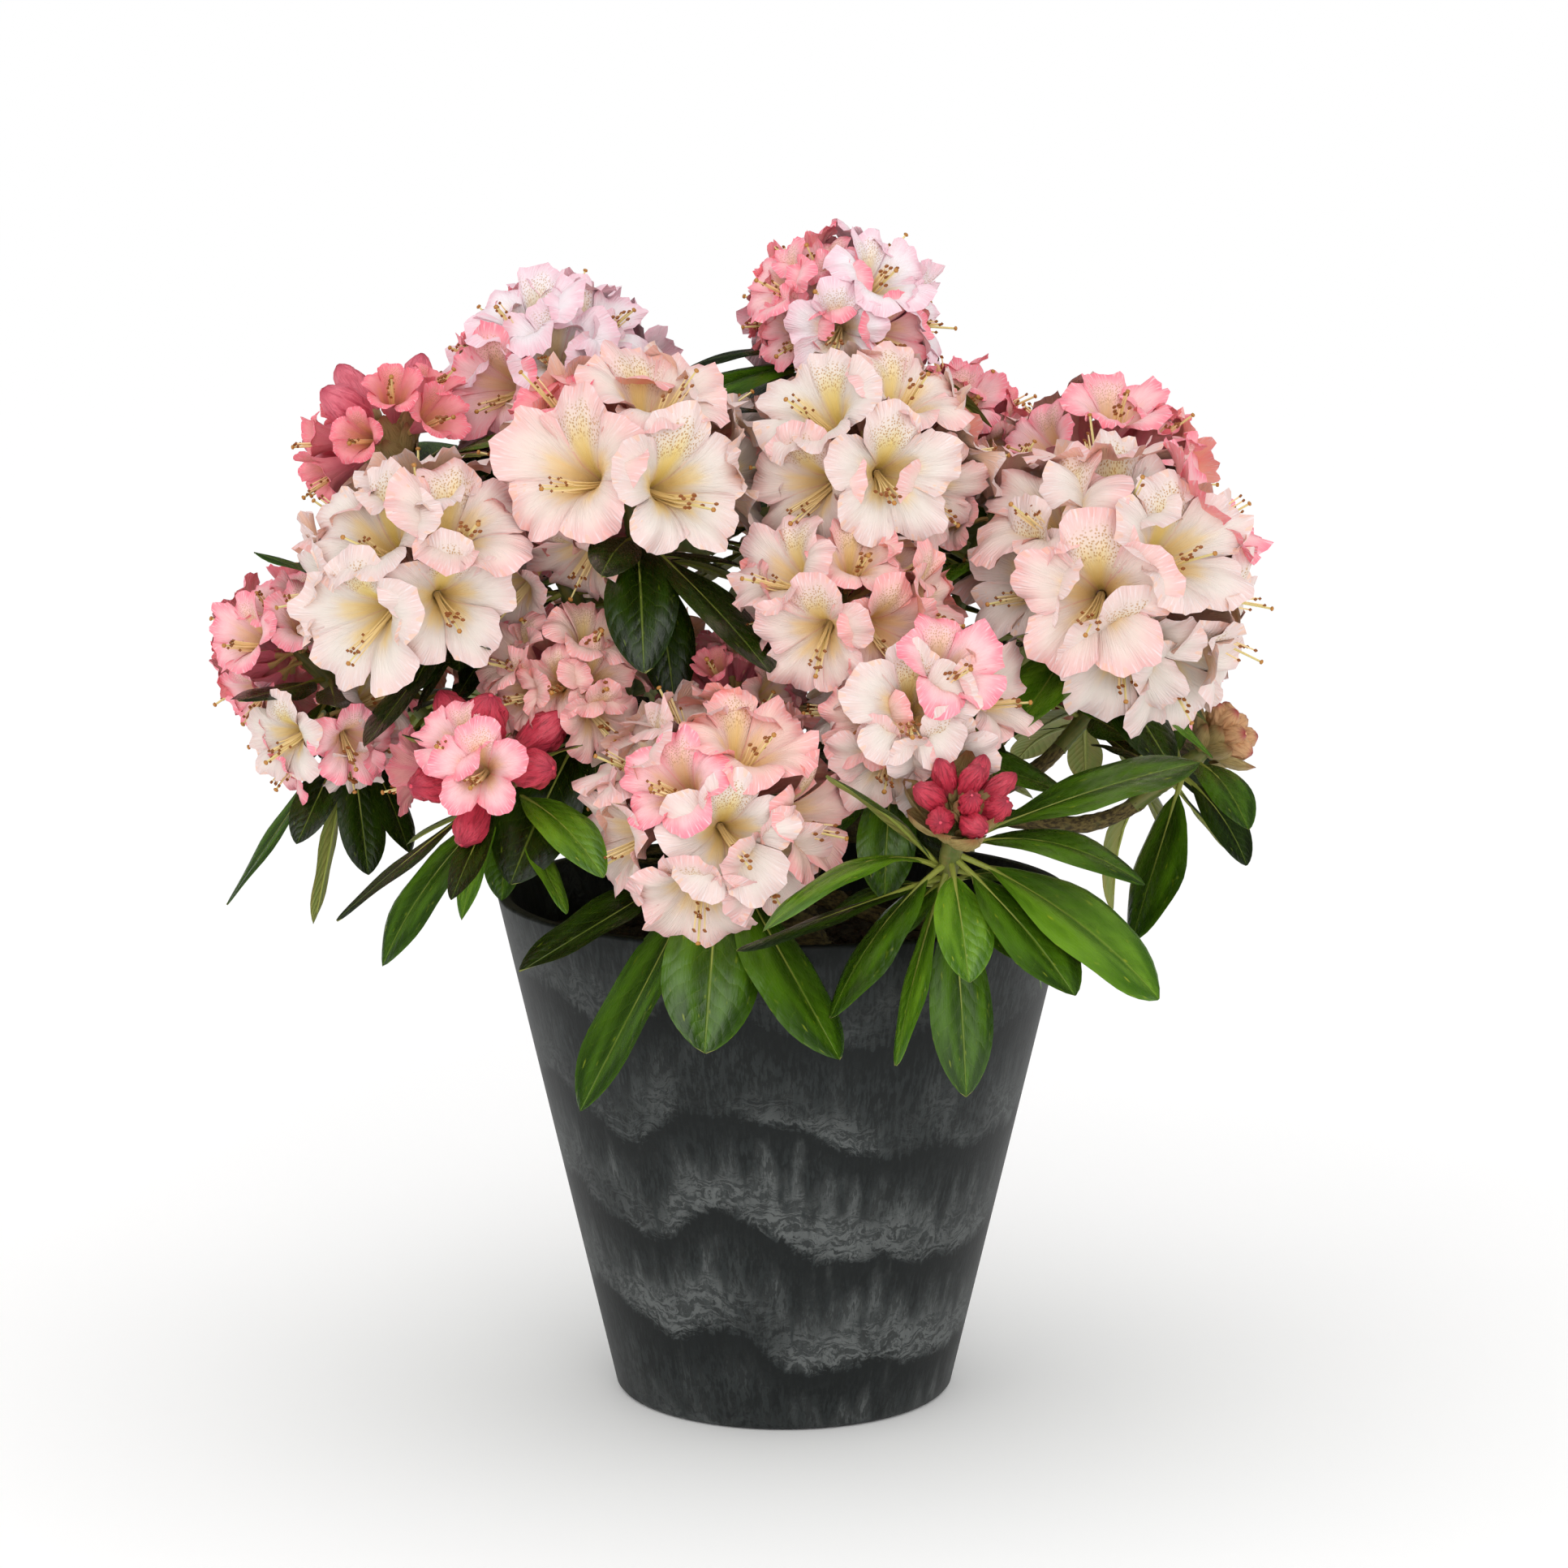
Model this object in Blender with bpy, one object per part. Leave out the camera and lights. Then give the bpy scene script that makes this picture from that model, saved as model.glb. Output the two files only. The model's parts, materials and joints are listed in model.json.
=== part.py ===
"""A potted rhododendron in bloom: a small evergreen shrub in a straight tapered planter.

The planter stands on its flat underside at z = 0, with the origin at that underside's middle, and
-Y is the side that the plant is seen from. The planter holds a plug of compost. A short trunk with
a root flare stands on the compost and forks into boughs, side limbs fork from those, and each limb
ends at one mass: a flower head on its stem, with a whorl of leaves below it. Every part grows by
one seeded rule from the tables below, and a flower or leaf that would touch another part is bent
aside, or left out.
"""

import math
import random
from typing import NamedTuple

import bmesh
import bpy
from mathutils import Vector
from mathutils.bvhtree import BVHTree

MM = 0.001
CLEAR = 0.0003                  # gap between two parts that meet
SHARP = math.radians(40)        # an edge that folds more than this is shaded as an edge
GOLDEN_ANGLE = math.radians(137.508)

# Planter and compost
POT_HEIGHT = 0.240
POT_RIM_RADIUS = 0.135
POT_BASE_RADIUS = 0.080
POT_WALL = 0.006
POT_FLOOR = 0.008
POT_EDGE = 0.002                # the small slope where the wall meets the underside
POT_SIDES = 48
SOIL_DROP = 0.025               # the compost's level below the rim
SOIL_CLEAR = 0.00036            # its gap from the wall, measured level

# Trunk, from its flat foot on the compost to its fork
SOIL_TOP = POT_HEIGHT - SOIL_DROP
TRUNK_TOP = Vector((0.004, 0.003, 0.272))
TRUNK_SHAPE = ((0.0, 0.0240), (0.10, 0.0185), (0.28, 0.0150), (0.55, 0.0135), (0.85, 0.0145),
               (1.0, 0.0105))   # share of the height, radius
TRUNK_SIDES = 10

# Boughs and side limbs
BOUGH_RADIUS = 0.0062           # at its fork from the trunk
LIMB_RADIUS = 0.0050            # at a fork from a bough
SHOOT_RADIUS = 0.0038           # at every limb's tip, and the stem that goes on from it
LIMB_SIDES = 6
LIMB_STEPS = 4
CURVE_PULL = 0.36               # a curve's handle, as a share of its length
FORK_ASIDE = 0.9                # a limb's first direction: away from its parent,
FORK_ALONG = 0.35               # along it,
FORK_OUT = 0.5                  # and towards its own tip
TAPER = 0.8

# Flower heads and leaves
SPREAD_FROM = Vector((0, 0, 0.150))     # every shoot points away from this place in the planter
STEM = 0.045                    # from a limb's tip to the middle of the flower head
STEM_MIDDLE = 0.018             # below the middle of the head, and the stem's radius there
STEM_MIDDLE_RADIUS = 0.0046
CORE_RADIUS = 0.012             # the knob that the flower stalks rise from
CORE_SHARE = 0.4                # the knob is no wider than this share of the head's reach
KNOB_SHAPE = ((-0.7, 0.75), (0.1, 1.0), (0.75, 0.65))   # height and radius, as shares of its radius
HEAD_SPREAD = math.radians(98)  # the lowest flower's angle from the shoot's own line
BUD_SPREAD = math.radians(58)   # the same where a head has only buds
LOBES = 5
UPPER_LOBE = math.radians(90)   # one lobe of every flower points up
ROOT_DEPTH = 0.004              # a flower's or bud's root, from the middle of the head
LEAVES_BELOW = 0.016            # the highest leaf's place on the stem, below the flowers
LEAF_STEP = 0.0018              # from one leaf's place down to the next

# A flower's widths and heights, as shares of its head's reach
FLOWER_WIDTH = 0.49
THROAT_HEIGHT = 0.56
THROAT_WIDTH = 0.15
SINUS_WIDTH = 0.78              # between two lobes, as a share of the flower's own width
LOBE_HEIGHT = 0.97
SINUS_HEIGHT = 0.93
MOUTH_DEPTH = 0.70
BUD_WAIST = 0.66                # where a bud is widest
BUD_RADIUS = 0.006

# Leaves
LEAF_LENGTH = 0.104
LEAF_WIDTH = 0.036
LEAF_THICKNESS = 0.0016
LEAF_SHAPE = ((0.24, 0.36), (0.62, 1.0))     # share of the length, share of the width
LEAF_BEND = 0.5                 # how far along a leaf its first direction reaches
STALK = 0.18                    # the share of a leaf's length that may touch its own shoot
TOUCH = 0.0008                  # how much larger a piece is taken to be when it is tried for room

# Chances of the growth rule: lengths in metres, angles in radians, the rest are shares
WAY_JITTER = 0.075              # of a flower's or bud's direction
FLOWER_TRIES = 6
FLOWER_NUDGE = 0.09             # how far aside a flower is tried, more with each try
FLOWER_SHRINK = 0.05            # how much smaller it is with each try
SMALLEST_FLOWER = 0.94
KNOWN_TRIES = 24
KNOWN_NUDGE = 0.0012            # how far a known tip is moved, more with each try
STEEPEST_ARCH = 0.8             # how much a leaf may rise before it hangs over to a known tip
WIDEST_LEAF = 1.1
WHORL_TRIES = 20
WHORL_TURN = math.radians(40)   # the first leaf's angle from the first flower's
WHORL_JITTER = 0.04
WHORL_RISE = (-0.25, 0.35)      # how much a leaf starts along its stem's direction
WHORL_ASIDE = 0.6               # how much it goes on aside
WHORL_DROOP = (0.1, 0.8)        # how much it hangs
SHORTEST_LEAF = 0.72
LEAF_SHRINK = 0.02              # how much shorter a leaf is with each try


class Shoot(NamedTuple):
    """One flower head: where its limb forks, where its stalks meet, and what it carries."""

    name: str
    parent: str                 # the limb that its own limb forks from
    fork: float                 # how far along that limb, as a share of its length
    heart: tuple                # where the flower stalks meet, in mm
    reach: float                # radius of the flower head, in mm
    flowers: int
    buds: int
    leaves: int
    turn: float                 # where its spiral of flowers starts, in degrees


SHOOTS = (
    Shoot("top", "trunk", 0.90, (27, 25, 503), 47, 8, 0, 6, 250),
    Shoot("left", "trunk", 0.62, (-160, -65, 390), 60, 10, 0, 6, 200),
    Shoot("right", "trunk", 0.70, (146, -50, 386), 70, 10, 0, 6, 300),
    Shoot("front", "trunk", 0.56, (-31, -125, 296), 57, 10, 0, 6, 250),
    Shoot("bud_front", "bough_front", 0.35, (75, -147, 299), 33, 0, 9, 11, 0),
    Shoot("back_top", "trunk", 0.76, (-10, 115, 415), 58, 8, 0, 6, 90),
    Shoot("top_left", "trunk", 0.86, (-109, 55, 470), 55, 9, 0, 6, 250),
    Shoot("upper_right", "trunk", 0.84, (150, 40, 425), 53, 8, 0, 6, 0),
    Shoot("centre_left", "bough_top", 0.30, (-71, -55, 430), 65, 10, 0, 6, 250),
    Shoot("upper_centre", "bough_top", 0.45, (37, -45, 441), 59, 8, 0, 4, 270),
    Shoot("centre", "bough_top", 0.18, (26, -85, 382), 50, 7, 0, 4, 270),
    Shoot("far_left", "bough_left", 0.32, (-224, -15, 353), 42, 8, 0, 3, 207),
    Shoot("low_left", "bough_left", 0.20, (-130, -105, 312), 45, 3, 6, 8, 300),
    Shoot("inner_left", "bough_left", 0.48, (-95, -75, 345), 42, 6, 0, 3, 250),
    Shoot("front_right", "bough_right", 0.22, (54, -105, 336), 56, 9, 0, 5, 270),
    Shoot("bud_right", "bough_right", 0.45, (203, 0, 310), 20, 0, 7, 4, 0),
    Shoot("upper_left", "bough_top_left", 0.32, (-183, 20, 448), 48, 5, 4, 6, 200),
    Shoot("back_left", "bough_top_left", 0.20, (-140, 90, 385), 52, 7, 0, 6, 120),
    Shoot("top_behind", "bough_upper_right", 0.42, (82, 75, 447), 38, 7, 0, 5, 80),
    Shoot("back_right", "bough_upper_right", 0.24, (125, 115, 380), 52, 7, 0, 6, 60),
    Shoot("side_right", "bough_right", 0.32, (165, 85, 330), 44, 6, 0, 6, 30),
    Shoot("side_left", "bough_top_left", 0.10, (-195, 65, 335), 44, 6, 0, 6, 150),
    Shoot("back_low_left", "bough_back_top", 0.18, (-85, 140, 320), 50, 7, 0, 7, 120),
    Shoot("back_low_right", "bough_back_top", 0.30, (55, 145, 315), 50, 7, 0, 7, 60),
    Shoot("low_far_left", "bough_left", 0.42, (-206, -52, 329), 40, 4, 0, 4, 250),
    Shoot("inner_front", "bough_front", 0.50, (-22, -75, 338), 38, 5, 0, 0, 250),
    Shoot("inner_right", "bough_right", 0.60, (93, -25, 414), 42, 6, 0, 2, 250),
    Shoot("mid_left", "bough_left", 0.62, (-104, -50, 402), 44, 5, 0, 2, 250),
)

# Shoots that bend from the direction they would take: how far aside, towards the back and up
BENDS = {"low_left": (0.3, -0.5, -0.1), "low_far_left": (0.3, -1.0, -0.1), "bud_front": (-0.25, 0.12, 0.15)}

# Shoots whose leaves hang straight down from below the flowers
HANGING = ("front", "right", "low_far_left", "far_left", "left")

# Heads where one flower has opened ahead of the buds round it; elsewhere the buds are at the top
OPEN_FIRST = ("low_left",)

# Leaves whose place is known: the shoot, where the leaf's tip hangs in mm, and its share of a full width
LEAF_TIPS = (
    ("front", (-89, -160, 172), 1.0),
    ("front", (-41, -180, 196), 1.0),
    ("front", (24, -180, 200), 1.0),
    ("front", (-115, -160, 234), 0.8),
    ("bud_front", (183, -120, 320), 0.9),
    ("bud_front", (157, -150, 271), 1.15),
    ("bud_front", (164, -150, 220), 1.25),
    ("bud_front", (125, -180, 228), 1.25),
    ("bud_front", (79, -190, 236), 1.0),
    ("bud_front", (20, -170, 216), 1.15),
    ("bud_front", (49, -150, 190), 0.5),
    ("bud_front", (80, -150, 176), 0.7),
    ("bud_front", (114, -130, 220), 0.7),
    ("bud_front", (-9, -190, 258), 0.5),
    ("bud_front", (-21, -200, 253), 0.3),
    ("bud_front", (18, -180, 324), 0.5),
    ("right", (100, -115, 330), 1.1),
    ("right", (174, -90, 312), 0.9),
    ("right", (195, -60, 312), 0.6),
    ("bud_right", (212, -60, 279), 0.9),
    ("bud_right", (163, -20, 219), 1.2),
    ("bud_right", (157, 20, 226), 1.0),
    ("bud_right", (180, 55, 320), 0.8),
    ("low_left", (-195, -150, 255), 0.35),
    ("low_left", (-144, -160, 266), 0.45),
    ("low_left", (-142, -130, 251), 0.6),
    ("low_left", (-78, -160, 276), 0.7),
    ("low_left", (-95, -140, 256), 0.45),
    ("low_left", (-88, -130, 329), 0.3),
    ("low_left", (-167, -130, 334), 0.45),
    ("low_far_left", (-255, -60, 244), 0.8),
    ("low_far_left", (-220, -80, 276), 0.8),
    ("low_far_left", (-191, -50, 256), 0.9),
    ("low_far_left", (-219, -30, 229), 0.4),
    ("far_left", (-244, -90, 343), 0.9),
    ("far_left", (-198, -110, 343), 0.4),
    ("left", (-167, -90, 346), 0.9),
    ("left", (-131, -110, 369), 0.9),
    ("left", (-243, -30, 403), 0.5),
    ("centre_left", (-61, -130, 361), 0.9),
    ("centre_left", (-6, -130, 361), 0.9),
    ("centre_left", (-79, -140, 405), 0.6),
    ("centre_left", (-49, -90, 340), 0.8),
    ("top", (-44, 30, 484), 0.8),
    ("upper_left", (-135, -50, 449), 0.6),
)


class Limb(NamedTuple):
    """A limb's middle line, with its direction and radius at each point."""

    points: list
    ways: list
    radii: list


class Piece(NamedTuple):
    """A closed shape in world coordinates. Its kind is stem, flower, bud or leaf."""

    kind: str
    points: list
    faces: list


# Directions and rings

def across(way):
    """Two unit vectors square to a direction and to each other: a level one, and one that rises."""
    level = Vector((0, 0, 1)).cross(way)
    if level.length < 0.05:
        level = Vector((0, 1, 0)).cross(way)
    level.normalize()
    return level, way.cross(level).normalized()


def ring(centre, level, up, radius, sides, turn=0.0):
    """Points round a centre, in the plane of two directions."""
    angles = (turn + math.tau * step / sides for step in range(sides))
    return [centre + radius * (math.cos(angle) * level + math.sin(angle) * up) for angle in angles]


def bridge(first, second, sides):
    """Faces between two rings of the same size, given the index of each ring's first point."""
    faces = []
    for step in range(sides):
        following = (step + 1) % sides
        faces.append((first + step, first + following, second + following, second + step))
    return faces


# Limbs

def curve_between(start, start_way, end, end_way, steps):
    """Points and directions on a smooth curve that leaves and arrives along the given directions."""
    pull = (end - start).length * CURVE_PULL
    first = start + start_way * pull
    second = end - end_way * pull
    points = []
    ways = []
    for step in range(steps + 1):
        along = step / steps
        back = 1 - along
        points.append(back ** 3 * start + 3 * back ** 2 * along * first
                      + 3 * back * along ** 2 * second + along ** 3 * end)
        ways.append((back ** 2 * (first - start) + 2 * back * along * (second - first)
                     + along ** 2 * (end - second)).normalized())
    return points, ways


def shoot_way(shoot):
    """The direction in which a shoot grows."""
    bend = Vector(BENDS.get(shoot.name, (0, 0, 0)))
    return ((Vector(shoot.heart) * MM - SPREAD_FROM).normalized() + bend).normalized()


def shoot_foot(shoot):
    """The foot of a flower head's own stem, where its limb ends."""
    return Vector(shoot.heart) * MM - shoot_way(shoot) * STEM


def trunk_limb():
    """The trunk: a wide root flare on the compost, a slight lean, and the knuckle it forks at."""
    foot = Vector((0, 0, SOIL_TOP + CLEAR))
    lean = TRUNK_TOP - foot
    points = [foot + lean * height for height, radius in TRUNK_SHAPE]
    ways = [Vector((0, 0, 1))] + [lean.normalized()] * (len(TRUNK_SHAPE) - 1)
    return Limb(points, ways, [radius for height, radius in TRUNK_SHAPE])


def place_along(limb, share):
    """A point on a limb's middle line, and the limb's direction there."""
    position = share * (len(limb.points) - 1)
    step = min(int(position), len(limb.points) - 2)
    share_of_step = position - step
    point = limb.points[step].lerp(limb.points[step + 1], share_of_step)
    return point, limb.ways[step].lerp(limb.ways[step + 1], share_of_step).normalized()


def grow_limbs():
    """The trunk, the boughs that fork from it and the side limbs that fork from those."""
    limbs = {"trunk": trunk_limb()}
    for shoot in SHOOTS:
        start, parent_way = place_along(limbs[shoot.parent], shoot.fork)
        end_way = shoot_way(shoot)
        end = shoot_foot(shoot) - end_way * CLEAR
        outward = (end - start).normalized()
        sideways = (outward - parent_way * outward.dot(parent_way)).normalized()
        start_way = (sideways * FORK_ASIDE + parent_way * FORK_ALONG + outward * FORK_OUT).normalized()
        points, ways = curve_between(start, start_way, end, end_way, LIMB_STEPS)
        thick = BOUGH_RADIUS if shoot.parent == "trunk" else LIMB_RADIUS
        radii = [thick + (SHOOT_RADIUS - thick) * (step / LIMB_STEPS) ** TAPER
                 for step in range(LIMB_STEPS + 1)]
        limbs["bough_" + shoot.name] = Limb(points, ways, radii)
    return limbs


def tube(limb, sides, swell=0.0):
    """A limb's closed skin. A swell makes it that much fatter, and longer at both ends."""
    points = []
    faces = []
    count = len(limb.points)
    level, up = across(limb.ways[0])
    for step in range(count):
        centre, way = limb.points[step], limb.ways[step]
        if step == 0:
            centre = centre - way * swell
        if step == count - 1:
            centre = centre + way * swell
        level = (level - way * level.dot(way)).normalized()
        points += ring(centre, level, way.cross(level), limb.radii[step] + swell, sides)
    for step in range(count - 1):
        faces += bridge(step * sides, (step + 1) * sides, sides)
    faces.append(tuple(reversed(range(sides))))
    faces.append(tuple(range((count - 1) * sides, count * sides)))
    return points, faces


# Pieces of a flower head

def stem_piece(shoot):
    """The stem from the limb's tip up to the knob that the flower stalks rise from."""
    heart = Vector(shoot.heart) * MM
    way = shoot_way(shoot)
    core = min(CORE_RADIUS, shoot.reach * MM * CORE_SHARE)
    profile = [(-STEM, SHOOT_RADIUS), (-STEM_MIDDLE, STEM_MIDDLE_RADIUS)]
    profile += [(height * core, radius * core) for height, radius in KNOB_SHAPE]
    points = []
    faces = []
    for height, radius in profile:
        points += ring(heart + way * height, *across(way), radius, LIMB_SIDES)
    for step in range(len(profile) - 1):
        faces += bridge(step * LIMB_SIDES, (step + 1) * LIMB_SIDES, LIMB_SIDES)
    faces.append(tuple(reversed(range(LIMB_SIDES))))
    faces.append(tuple(range(len(points) - LIMB_SIDES, len(points))))
    return Piece("stem", points, faces)


def flower_piece(heart, way, reach, swell=0.0):
    """A funnel-shaped flower: a point in the knob, a throat, five lobes and a hollow mouth."""
    width = FLOWER_WIDTH * reach + swell
    level, up = across(way)
    points = [heart + way * ROOT_DEPTH]
    points += ring(heart + way * THROAT_HEIGHT * reach, level, up, THROAT_WIDTH * reach + swell, LOBES,
                   UPPER_LOBE)
    for step in range(2 * LOBES):
        is_lobe = step % 2 == 0
        angle = UPPER_LOBE + math.tau * step / (2 * LOBES)
        radius = width if is_lobe else SINUS_WIDTH * width
        height = (LOBE_HEIGHT if is_lobe else SINUS_HEIGHT) * reach + swell
        points.append(heart + way * height + radius * (math.cos(angle) * level + math.sin(angle) * up))
    points.append(heart + way * MOUTH_DEPTH * reach)
    mouth = len(points) - 1
    rim = 1 + LOBES
    faces = []
    for step in range(LOBES):
        following = (step + 1) % LOBES
        lobe, sinus, next_lobe = rim + 2 * step, rim + 2 * step + 1, rim + 2 * following
        faces += [(0, 1 + following, 1 + step), (1 + step, sinus, lobe), (1 + step, 1 + following, sinus),
                  (1 + following, next_lobe, sinus), (mouth, lobe, sinus), (mouth, sinus, next_lobe)]
    return Piece("flower", points, faces)


def bud_piece(heart, way, reach, swell=0.0):
    """A closed bud on its stalk: two cones that meet at the bud's widest ring."""
    points = [heart + way * ROOT_DEPTH, heart + way * (reach + swell)]
    points += ring(heart + way * BUD_WAIST * reach, *across(way), BUD_RADIUS + swell, LOBES)
    faces = []
    for step in range(LOBES):
        following = (step + 1) % LOBES
        faces += [(0, 2 + following, 2 + step), (1, 2 + step, 2 + following)]
    return Piece("bud", points, faces)


def leaf_line(root, start_way, tip):
    """The midrib of a leaf: it leaves its stem along start_way and bends over to its tip."""
    handle = root + start_way * (tip - root).length * LEAF_BEND
    return lambda along: (1 - along) ** 2 * root + 2 * (1 - along) * along * handle + along ** 2 * tip


def leaf_piece(root, start_way, tip, width, swell=0.0, first=0.0):
    """A leaf: a point in the stem, two three-cornered sections and the tip."""
    line = leaf_line(root, start_way, tip)
    points = [line(first)]
    for along, share in LEAF_SHAPE:
        middle = line(along)
        way = (line(along + 0.05) - line(along - 0.05)).normalized()
        level, up = across(way)
        half = 0.5 * width * share + swell
        points += [middle - level * half, middle + level * half, middle - up * (LEAF_THICKNESS + swell)]
    points.append(line(1.0) + (tip - line(0.9)).normalized() * swell)
    faces = [(0, 1, 2), (0, 2, 3), (0, 3, 1), (7, 5, 4), (7, 6, 5), (7, 4, 6)]
    faces += [(4, 5, 2, 1), (5, 6, 3, 2), (6, 4, 1, 3)]
    return Piece("leaf", points, faces)


# The rule by which flowers and leaves take their places

class Room:
    """Remembers what has grown, to tell whether a new piece would touch another part."""

    def __init__(self):
        self.taken = []

    def add(self, owner, kind, points, faces):
        """Keeps a grown piece, with the ball that holds it."""
        middle = sum(points, Vector()) / len(points)
        radius = max((point - middle).length for point in points)
        self.taken.append((owner, kind, middle, radius, BVHTree.FromPolygons(points, faces)))

    def is_free(self, owner, piece, own_kinds=()):
        """True if a piece touches no other owner's piece, and none of its own of the given kinds."""
        middle = sum(piece.points, Vector()) / len(piece.points)
        radius = max((point - middle).length for point in piece.points)
        tree = BVHTree.FromPolygons(piece.points, piece.faces)
        for other, kind, place, size, shape in self.taken:
            if other == owner and kind not in own_kinds:
                continue
            if (place - middle).length < size + radius and tree.overlap(shape):
                return False
        return True


def head_ways(shoot, chance):
    """The directions of a head's flowers and buds, in a spiral from the top of the head down."""
    way = shoot_way(shoot)
    level, up = across(way)
    count = shoot.flowers + shoot.buds
    spread = HEAD_SPREAD if shoot.flowers else BUD_SPREAD
    ways = []
    for number in range(count):
        slope = math.acos(1 - (1 - math.cos(spread)) * (number + 0.5) / count)
        slope += chance.uniform(-WAY_JITTER, WAY_JITTER)
        angle = math.radians(shoot.turn) + number * GOLDEN_ANGLE + chance.uniform(-WAY_JITTER, WAY_JITTER)
        side = math.cos(angle) * level + math.sin(angle) * up
        ways.append((math.cos(slope) * way + math.sin(slope) * side).normalized())
    return ways


def is_bud(shoot, number):
    """Whether a place in the head's spiral holds a bud."""
    first = 1 if shoot.name in OPEN_FIRST else 0
    return first <= number < first + shoot.buds


def grow_flowers(shoot, room, chance):
    """A head's buds and flowers. One that would touch another part is tried aside and smaller."""
    heart = Vector(shoot.heart) * MM
    pieces = []
    for number, way in enumerate(head_ways(shoot, chance)):
        make = bud_piece if is_bud(shoot, number) else flower_piece
        size = chance.uniform(SMALLEST_FLOWER, 1.0)
        for attempt in range(FLOWER_TRIES):
            nudge = Vector([chance.uniform(-1, 1) for axis in range(3)]) * FLOWER_NUDGE * attempt
            tried = (way + nudge).normalized()
            reach = shoot.reach * MM * size * (1 - FLOWER_SHRINK * attempt)
            if room.is_free(shoot.name, make(heart, tried, reach, TOUCH), ("leaf",)):
                piece = make(heart, tried, reach)
                pieces.append(piece)
                room.add(shoot.name, piece.kind, piece.points, piece.faces)
                break
    return pieces


def grow_leaf(shoot, room, root, start_way, tip, width):
    """One leaf, if it has room: its part beyond the stem touches nothing, its own flowers too."""
    blade = leaf_piece(root, start_way, tip, width, TOUCH, STALK)
    piece = leaf_piece(root, start_way, tip, width)
    if not room.is_free(shoot.name, blade, ("flower", "bud", "leaf")):
        return None
    if not room.is_free(shoot.name, leaf_piece(root, start_way, tip, width, TOUCH)):
        return None
    room.add(shoot.name, "leaf", piece.points, piece.faces)
    return piece


def leaf_root(shoot, number):
    """Where a leaf leaves the stem: each one a little lower than the one before it."""
    return Vector(shoot.heart) * MM - shoot_way(shoot) * (LEAVES_BELOW + LEAF_STEP * number)


def grow_known_leaves(shoot, room, chance):
    """The leaves whose tips the table gives."""
    pieces = []
    tips = [(Vector(tip) * MM, share) for name, tip, share in LEAF_TIPS if name == shoot.name]
    for number, (tip, share) in enumerate(tips):
        root = leaf_root(shoot, number)
        for attempt in range(KNOWN_TRIES):
            nudge = Vector([chance.uniform(-1, 1) for axis in range(3)]) * KNOWN_NUDGE * attempt
            reach = tip + nudge - root
            arch = Vector((0, 0, chance.uniform(0.0, 0.0 if shoot.name in HANGING else STEEPEST_ARCH)))
            start_way = (reach.normalized() + arch).normalized()
            width = LEAF_WIDTH * share * min(reach.length / LEAF_LENGTH, WIDEST_LEAF)
            piece = grow_leaf(shoot, room, root, start_way, root + reach, width)
            if piece:
                pieces.append(piece)
                break
    return pieces


def grow_whorl(shoot, room, chance, grown):
    """The rest of a shoot's leaves, in a spiral round its stem, drooping with their weight."""
    way = shoot_way(shoot)
    level, up = across(way)
    pieces = []
    for number in range(grown, shoot.leaves):
        root = leaf_root(shoot, number)
        for attempt in range(WHORL_TRIES):
            angle = math.radians(shoot.turn) + WHORL_TURN + number * GOLDEN_ANGLE
            angle += chance.uniform(-WHORL_JITTER, WHORL_JITTER) * (attempt + 2)
            side = math.cos(angle) * level + math.sin(angle) * up
            start_way = (side + way * chance.uniform(*WHORL_RISE)).normalized()
            length = LEAF_LENGTH * chance.uniform(SHORTEST_LEAF, 1.0) * (1 - LEAF_SHRINK * attempt)
            droop = Vector((0, 0, chance.uniform(*WHORL_DROOP)))
            hang = (start_way + side * WHORL_ASIDE - droop).normalized()
            tip = root + hang * length
            piece = grow_leaf(shoot, room, root, start_way, tip, LEAF_WIDTH * length / LEAF_LENGTH)
            if piece:
                pieces.append(piece)
                break
    return pieces


def grow_heads(limbs):
    """All pieces of all heads: stems first, then known leaves, flowers and the other leaves."""
    room = Room()
    room.add("planter", "wall", *turned_skin(pot_profile(), POT_SIDES))
    for name, limb in limbs.items():
        room.add(name, "limb", *tube(limb, limb_sides(name)))
    heads = {shoot.name: [stem_piece(shoot)] for shoot in SHOOTS}
    for shoot in SHOOTS:
        room.add(shoot.name, "stem", heads[shoot.name][0].points, heads[shoot.name][0].faces)
    chances = {shoot.name: random.Random(number + 11) for number, shoot in enumerate(SHOOTS)}
    known = {}
    for shoot in SHOOTS:
        known[shoot.name] = grow_known_leaves(shoot, room, chances[shoot.name])
        heads[shoot.name] += known[shoot.name]
    for shoot in SHOOTS:
        heads[shoot.name] += grow_flowers(shoot, room, chances[shoot.name])
    for shoot in SHOOTS:
        heads[shoot.name] += grow_whorl(shoot, room, chances[shoot.name], len(known[shoot.name]))
    return heads


# Planter and compost

def pot_profile():
    """The planter's section, from the middle of its underside round to the middle of its floor."""
    slope = (POT_RIM_RADIUS - POT_BASE_RADIUS) / POT_HEIGHT
    inner_foot = POT_BASE_RADIUS + slope * POT_FLOOR - POT_WALL
    return ((0, 0), (POT_BASE_RADIUS - POT_EDGE, 0), (POT_BASE_RADIUS + slope * POT_EDGE, POT_EDGE),
            (POT_RIM_RADIUS, POT_HEIGHT), (POT_RIM_RADIUS - POT_WALL, POT_HEIGHT),
            (inner_foot, POT_FLOOR), (0, POT_FLOOR))


def soil_profile():
    """The compost's section: it fills the planter to just below the rim, clear of the wall."""
    slope = (POT_RIM_RADIUS - POT_BASE_RADIUS) / POT_HEIGHT
    inner_foot = POT_BASE_RADIUS - POT_WALL - SOIL_CLEAR
    low, high = POT_FLOOR + CLEAR, SOIL_TOP
    return ((0, low), (inner_foot + slope * low, low), (inner_foot + slope * high, high), (0, high))


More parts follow.
